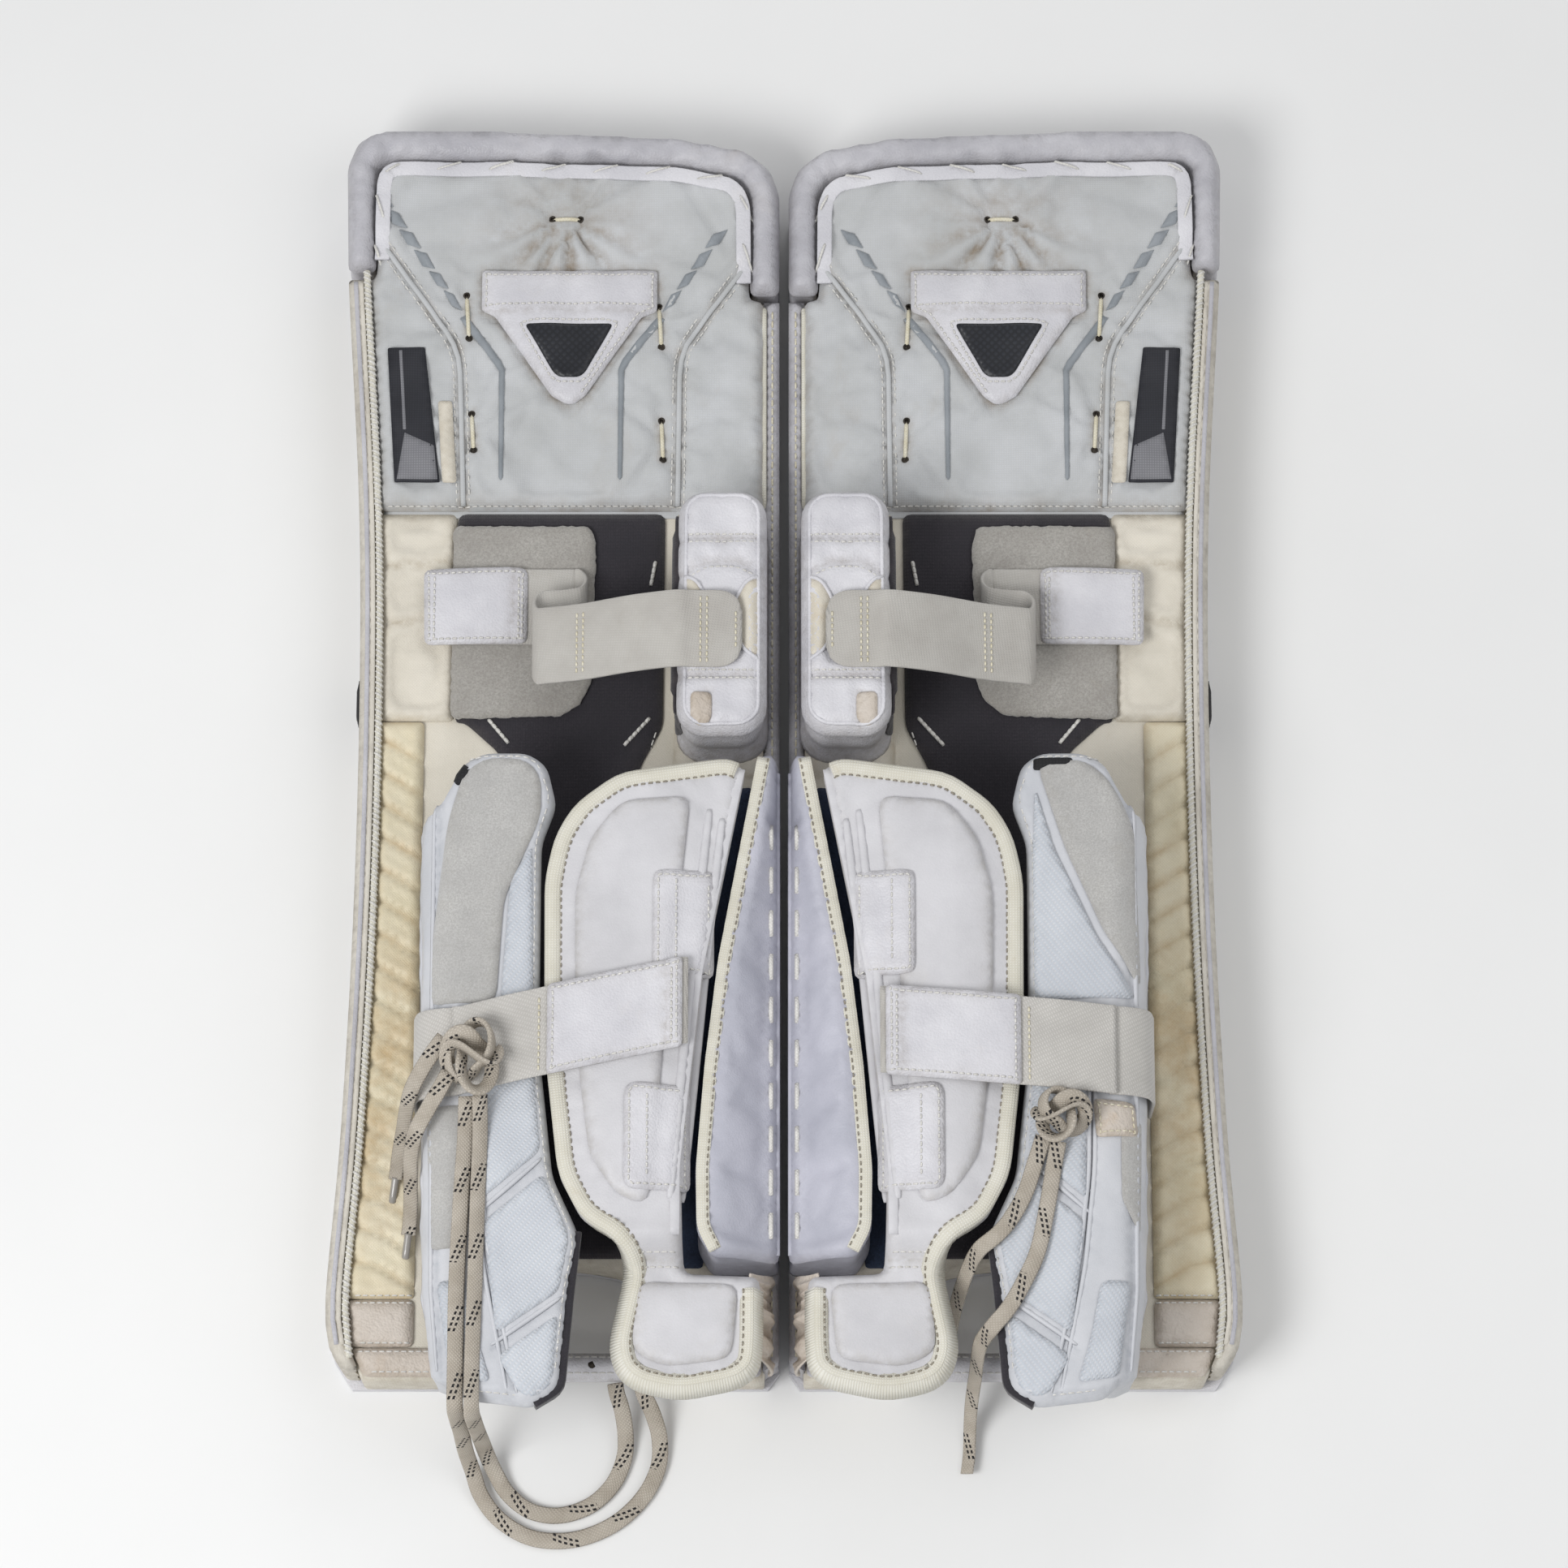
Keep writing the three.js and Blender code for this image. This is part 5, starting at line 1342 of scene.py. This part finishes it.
# Outer wing trims
herring = {"mesh": "wovenMeshPale", "thick": 0.7}
for side, sign in signs.items():
    own = pads[side]
    body = side + "_outer_wing_body"
    on = onto(side, [own["outerWing"]], place=onWing(0), reach=30, ease=3)
    U = lambda points: [(wingS(u), v) for u, v in points]
    lowNetting = [U([(153, -212), (183, -212), (183, -300), (148, -270)]),
        U([(146, -284), (182, -314), (173, -382), (136, -356), (130, -322)]),
        U([(136, -370), (172, -396), (159, -418), (150, -421), (139, -412)]),
        U([(192, -350), (212, -350), (206, -408), (176, -412), (186, -380)])]
    if side == "left":
        feltShape = U([(150, -34), (160, -23), (184, -22), (198, -32), (207, -64), (216, -135), (218, -178),
            (176, -178), (172, -112), (150, -60)])
        lowFelt = U([(219, -242), (190, -242), (186, -300), (200, -330), (216, -330)])
        netting = [U([(155, -78), (168, -100), (173, -176), (153, -176)])] + lowNetting
    else:
        feltShape = U([(156, -26), (184, -23), (199, -34), (216, -66), (219, -168), (197, -134),
            (173, -80)])
        lowFelt = U([(219, -250), (206, -254), (206, -300), (218, -320)])
        netting = [U([(155, -42), (166, -80), (192, -136), (216, -174), (153, -176),
            (153, -80)])] + lowNetting
    patch(side + "WingFelt", feltShape, on, 1.8, "needledFeltPale", body, side, lift=0.3,
        nodes=[side + "_outer_wing_felt"], slot="loop_felt", corner=9)
    patch(side + "WingFeltLow", lowFelt, on, 1.6, "needledFeltPale", body, side, lift=0.3, slot="loop_felt",
        corner=4)
    for n, shape in enumerate(netting):
        patch(side + "WingMesh" + str(n), shape, on, herring["thick"], herring["mesh"], body, side,
            lift=0.8, slot="wing_shell", corner=5)
    # raised ribs: the moulded lines that stand up between the mesh panels
    ribLines = [U([(216, -50), (216, -404)]), U([(186, -182), (185, -280), (178, -338), (160, -418)]),
        U([(190, -182), (189, -280), (182, -340), (166, -418)]), U([(147, -274), (185, -308)]),
        U([(134, -359), (176, -389)]), U([(170, -214), (160, -250), (152, -262)]), [(20, -60), (20, -395)],
        [(44, -54), (44, -400)]]
    parts = []
    for line in ribLines:
        row = resample(soften(line, 14, False), 3, False)
        parts.append(sweep(on(row, np.full(len(row), 0.5)),
            [(-1.9, -0.9), (-1.0, 0.5), (0, 0.8), (1.0, 0.5), (1.9, -0.9)],
            taper=lambda t: 0.4 + 0.6 * math.sin(math.pi * min(1, max(0, t))) ** 0.4))
    verts, faces, sewn = join(parts)
    addPiece(side + "WingRibs", verts, faces, "mouldedShellWhite", body, side, sewn, (), "wing_shell")
    # black backing showing along the free edge at the toe end
    backEdge = resample(soften(U([(124, -318), (128, -355), (133, -414), (149, -424)]), 6, False), 4, False)
    verts, faces, sewn = sweep(onWing(0)(backEdge, np.full(len(backEdge), 5.5)), tape(5, 9))
    addPiece(side + "WingBacking", verts, faces, "brushedKnitBlack", body, side, sewn, (), "wing_shell")
    stitches(side + "WingStitching", [resample(soften(U([(196, -21), (154, -21), (144, -46), (153, -76),
        (153, -205), (144, -284), (131, -314), (127, -326), (133, -356), (138, -410), (152, -420),
        (192, -416)]), 8, False), 4, False)], on, "twistedThreadWhite", body, side, radius=0.5,
        slot="wing_shell")
    # small blank tag at the top corner
    tagShape = U([(208, -33), (199, -24), (192, -31), (201, -40)]) if side == "left" else U([(154, -22),
        (178, -22), (178, -30), (154, -30)])
    patch(side + "WingTag", tagShape, on, 1.4, "wovenNylonBlack", body, side, step=3, lift=0.3, round=1.5,
        slot="wing_shell", corner=1.5)
print("outer wings trimmed")

# Calf straps: the anchor climbs the outside of the outer wing, the free end crosses both wings
for side, sign in signs.items():
    own = pads[side]
    outerMiddle, innerMiddle = calfStrap[side]
    slope = (innerMiddle - outerMiddle) / (calfStrap["hinge"] - 60)
    slant = lambda u, z, m=outerMiddle, k=slope: m + k * max(calfStrap["hinge"] - u, 0)
    wing = side + "_outer_wing_body"
    body = side + "_calf_strap_body"
    band(side + "CalfStrapAnchor", [(226.2, 62), (226.4, 84), (226, 104), (221.6, 119.0), (210.2, 127.6),
        (198.0, 130.6)], calfStrap["half"], calfStrap["thick"], slant, "knittedElasticGrey", wing, side,
        nodes=[side + "_calf_strap_anchor"], slot="strap_elastic", ripple=0.2)
    own["strap"] = band(side + "CalfStrap", [(202.0, 132.7), (192, 134.6), (180, 136.2),
        (160, calfStrap["height"]), (110, calfStrap["height"]), (64, calfStrap["height"])],
        calfStrap["half"], calfStrap["thick"], slant, "knittedElasticGrey", None, side,
        nodes=[side + "_calf_strap"], slot="strap_elastic", ripple=0.4)
    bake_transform(own["strap"])
    half = calfStrap["half"] + 0.5
    tab = [(62, slant(62, 0) - half), (144, slant(144, 0) - half), (144, slant(144, 0) + half),
        (62, slant(62, 0) + half)]
    own["calfTab"] = patch(side + "CalfStrapTab", tab, lambda p,
        h: np.column_stack([p[:, 0], p[:, 1], 139.6 + h + 0.5 * np.sin(p[:, 0] / 17 + 1)]), 3.0,
        "embossedLeatherWhite", body, side, nodes=[side + "_calf_strap_tab"], slot="strap_leather",
        seams=[[(72, tab[0][1]), (72, tab[3][1])]], groove=0.7, corner=3, round=3)
    onTab = onto(side, [own["calfTab"]], floorAt=100, reach=60)
    for n, u in enumerate((58.5, 62.5)):
        # cut ends of the strap layers, stacked like steps
        low, high = slant(u, 0) - half + 1, slant(u, 0) + half - 1
        patch(side + "CalfStrapEnd" + "AB"[n], [(u, low), (u + 6, low), (u + 6, high), (u, high)], lambda p,
            h, z=137.9 + 1.5 * n: np.column_stack([p[:, 0], p[:, 1], z + h]), 2.2, "knittedElasticWhite",
            body, side, lift=0, slot="strap_elastic", corner=1)
    stitches(side + "CalfTabStitching", [closed(outlineInset(tab, 3.4)),
        [(68.5, slant(68, 0) - half + 5), (68.5, slant(68, 0) + half - 5)]], onTab, "twistedThreadWhite",
        body, side, pitch=4.2, radius=0.6, slot="strap_leather")
    stitches(side + "CalfStrapStitching", [[(149, slant(149, 0) - 24), (149, slant(149, 0) + 24)]],
        onto(side, [own["strap"]], floorAt=100, reach=60), "twistedThreadCream", body, side, pitch=4.2,
        radius=0.6, slot="strap_elastic")

# Inner wing trims: bound edge, hook tabs, stitching
binding = {"width": 11, "height": 16.5}
w, t = binding["width"] / 2, binding["height"] / 2
bindingProfile = [(-w, -t * 0.92), (-w * 0.2, -t), (w * 0.7, -t * 0.9), (w, -t * 0.5), (w, t * 0.5),
    (w * 0.7, t * 0.9), (-w * 0.2, t), (-w, t * 0.92)]
for side, sign in signs.items():
    own = pads[side]
    body = side + "_inner_wing_body"
    on = onto(side, [own["innerWing"]], place=onInnerWing, reach=40)
    edge = [(28, -27), (36, -24), (101, -33), (128, -52), (140, -72), (146, -100), (145, -205), (136, -284),
        (122, -311), (99, -325), (93, -340), (103, -386), (99, -402), (88, -411), (62, -416), (27, -409),
        (17, -400), (15.5, -384), (15.5, -352)]
    row = resample(soften(edge, 10, False), 4, False)
    centre = inset(row, -binding["width"] / 2 + 0.6)
    verts, faces, sewn = sweep(onInnerWing(centre, np.full(len(centre), 6.6)), bindingProfile)
    own["binding"] = addPiece(side + "WingBinding", verts, faces, "wovenTapeCream", body, side, sewn, (),
        "wing_foam")
    onEdge = onto(side, [own["innerWing"], own["binding"]], place=onInnerWing, reach=40)
    stitches(side + "BindingStitching", [inset(row, -binding["width"] + 2.0)], onEdge, "twistedThreadDark",
        body, side, pitch=4.6, gap=2.2, radius=0.6, slot="wing_foam")
    innerEdge = [(24, -30), (38, -100), (50, -160), (63, -280), (63, -322)]
    trail(side + "WingInnerEdge", inset(resample(soften(innerEdge, 6, False), 4, False), 3), on, tape(6, 2),
        "paddedVinylWhite", body, side, lift=0.8, slot="wing_foam")
    # moulded foam blocks stand up from the wing behind a crisp step
    foamMade = [patch(side + "WingFoam" + part, shape, on, 3.4, "paddedVinylWhite", body, side, round=2.6,
        slot="wing_foam", corner=9) for part, shape in (("Upper", foamPanel), ("Flap", flapPanel))]
    onFoam = onto(side, [own["innerWing"]] + foamMade, place=onInnerWing, reach=40, ease=3)
    for n, line in enumerate([[(46, -56), (57, -160), (69, -300)], [(38, -62), (49, -160), (62, -300)]]):
        trail(side + "WingRidge" + "AB"[n], soften(line, 10, False), on, circle(3.0, 10, 0.6),
            "paddedVinylWhite", body, side, lift=0.3, slot="wing_foam",
            taper=lambda t: 0.5 + 0.5 * math.sin(math.pi * min(1, max(0, t))) ** 0.3)
    stitches(side + "WingPanelStitching", [[(66, -331), (96, -331)], [(64, -339), (92, -339)]], on,
        "twistedThreadWhite", body, side, pitch=4.6, radius=0.5, slot="wing_foam")
    for n, shape in enumerate([[(43, -96), (77, -96), (80, -99), (80, -158), (77, -161), (43, -161)],
            [(57, -231), (93, -229), (97, -234), (97, -290), (93, -295), (57, -295)]]):
        name = ("Upper", "Lower")[n]
        made = patch(side + "WingTab" + name, shape, onFoam, 2.4, "embossedLeatherWhite", body, side,
            lift=0.3, round=2.5, nodes=[side + "_wing_tab_" + name.lower()], slot="strap_leather", corner=6)
        onMade = onto(side, [made], place=onInnerWing, reach=40)
        end = shape[2][0]
        stitches(side + "WingTabStitching" + name, [outlineInset(shape, 3.2),
            [(end - 14, shape[2][1] - 3), (end - 14, shape[3][1] + 3)]], onMade, "twistedThreadWhite", body,
            side, pitch=4.2, slot="strap_leather")
    # flap gathers: leather drawn up between the pad and the flap
    rows, cols, skin = 70, 16, 0.9
    top, under = [], []
    for i in range(rows):
        a = i / (rows - 1)
        for j in range(cols):
            b = j / (cols - 1)
            fold = (0.35 + 0.65 * math.sin(math.pi * b)) * min(1, 9 * a,
                9 * (1 - a)) * (6.5 * noise.noise(Vector((a * 7, b * 1.5, 2))) + 2.8 *
                noise.noise(Vector((a * 19, b * 3, 5))) + 0.7 * math.sin(60 * a + 6 * b))
            spot = (9 + 11 * b ** 2 - 3 * math.sin(math.pi * b) + fold,
                -337 - 58 * a + (a - 0.5) * 6 * b + 1.4 * math.sin(5 * b + 9 * a), 50 + 57 * b)
            top.append((spot[0] + skin, spot[1], spot[2] + skin))
            under.append((spot[0] - skin, spot[1], spot[2] - skin))
    grid = [(i * cols + j, i * cols + j + 1, (i + 1) * cols + j + 1, (i + 1) * cols + j)
        for i in range(rows - 1) for j in range(cols - 1)]
    size = rows * cols
    faces = [f[::-1] for f in grid] + [tuple(size + k for k in f) for f in grid]
    rim = [j for j in range(cols)] + [i * cols + cols - 1 for i in range(1, rows)] + [(rows - 1) * cols + j
        for j in range(cols - 2, -1, -1)] + [i * cols for i in range(rows - 2, 0, -1)]
    faces += [(rim[k], rim[(k + 1) % len(rim)], size + rim[(k + 1) % len(rim)], size + rim[k])
        for k in range(len(rim))]
    gathers = addPiece(side + "FlapGathers", top + under, faces, "embossedLeatherCream", None, side,
        [(4 * i, 4 * j, 0) for i in range(rows) for j in range(cols)] * 2, (), "edge_leather")
    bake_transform(gathers)
print("inner wings trimmed")

# Wedge trims: bound outer edge and the row of lace loops down the inner edge
for side, sign in signs.items():
    own = pads[side]
    pad = side + "_pad"
    on = onto(side, [own["wedge"]], floorAt=60, reach=90)
    outer = [(14, -20), (29, -100), (38, -149), (46, -215), (51, -279), (50.5, -316), (43, -330)]
    row = resample(soften(outer, 6, False), 4, False)
    trail(side + "WedgeBinding", inset(row, -1.5), on, tape(8, 3), "wovenTapeCream", pad, side, lift=0.6,
        slot="wing_foam")
    stitches(side + "WedgeBindingStitching", [inset(row, -4.2)],
        onto(side, [own["wedge"], bpy.data.objects[side + "WedgeBinding"]], floorAt=60, reach=90),
        "twistedThreadDark", pad, side, pitch=4.6, gap=2.2, radius=0.5, slot="wing_foam")
    stitches(side + "WedgeLaceLoops", [[(8, -60), (8, -326)]], on, "twistedThreadWhite", pad, side,
        pitch=27, gap=11, radius=1.5, slot="wing_foam", lift=0.5)
    trail(side + "WedgeInnerPiping", [(4, -24), (4, -328)], on, circle(1.6, 8), "paddedVinylLilacShaded", pad,
        side, lift=0.4, slot="wing_foam")
    gapLining = [(20, -20), (64, -24), (66, -328), (50, -328), (44, -220), (34, -110)]
    patch(side + "WedgeGapLining", gapLining, onto(side, [own["lining"], own["landing"]], floorAt=40,
        reach=30, ease=6), 0.8, "brushedKnitNavy", pad, side, step=5, lift=1.4, slot="landing_knit",
        corner=3)
    # toe bridge eyelet and the buckle on the outer edge
    onBridge = onto(side, [own["bridge"]], floorAt=10)
    hole = onBridge(np.array([(118, -385), (118.1, -385)]), np.array([-0.5, 0.3]))
    verts, faces, sewn = sweep(hole, circle(2.6, 12))
    addPiece(side + "BridgeEyelet", verts, faces, "blackenedBrass", pad, side, sewn, (), "strap_leather")
    stitches(side + "BridgeStitching", [[(80, -380), (200, -380)], [(80, -390), (200, -390)]], onBridge,
        "twistedThreadWhite", pad, side, slot="strap_leather")
    patch(side + "EdgeBuckle", [(26, 14), (54, 14), (54, 44), (26, 44)], lambda p,
        h: np.column_stack([268.5 + h, p[:, 0], p[:, 1]]), 3.2, "wovenNylonBlack", pad, side,
        slot="edge_vinyl", corner=3)

# Right pad only: clip tab under the calf strap
body = "right_outer_wing_body"
on = onto("right", [pads["right"]["outerWing"]], place=onWing(0), reach=30)
clip = [(wingS(188), -238), (wingS(214), -240), (wingS(216), -260), (wingS(190), -262)]
made = patch("rightClipTab", clip, on, 2.2, "embossedLeatherCream", body, "right", lift=1.2,
    slot="strap_leather", corner=3)
stitches("rightClipStitching", [closed(outlineInset(clip, 3))],
    onto("right", [made], place=onWing(0), reach=30), "twistedThreadCream", body, "right", pitch=4.2,
    radius=0.5, slot="strap_leather")

# CAD nodes that stay get their own finish
for side in signs:
    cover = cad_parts[side + "_face_cover"]
    cover.data.materials.clear()
    cover.data.materials.append(surface["embossedLeatherWhite"])
print("trims done")
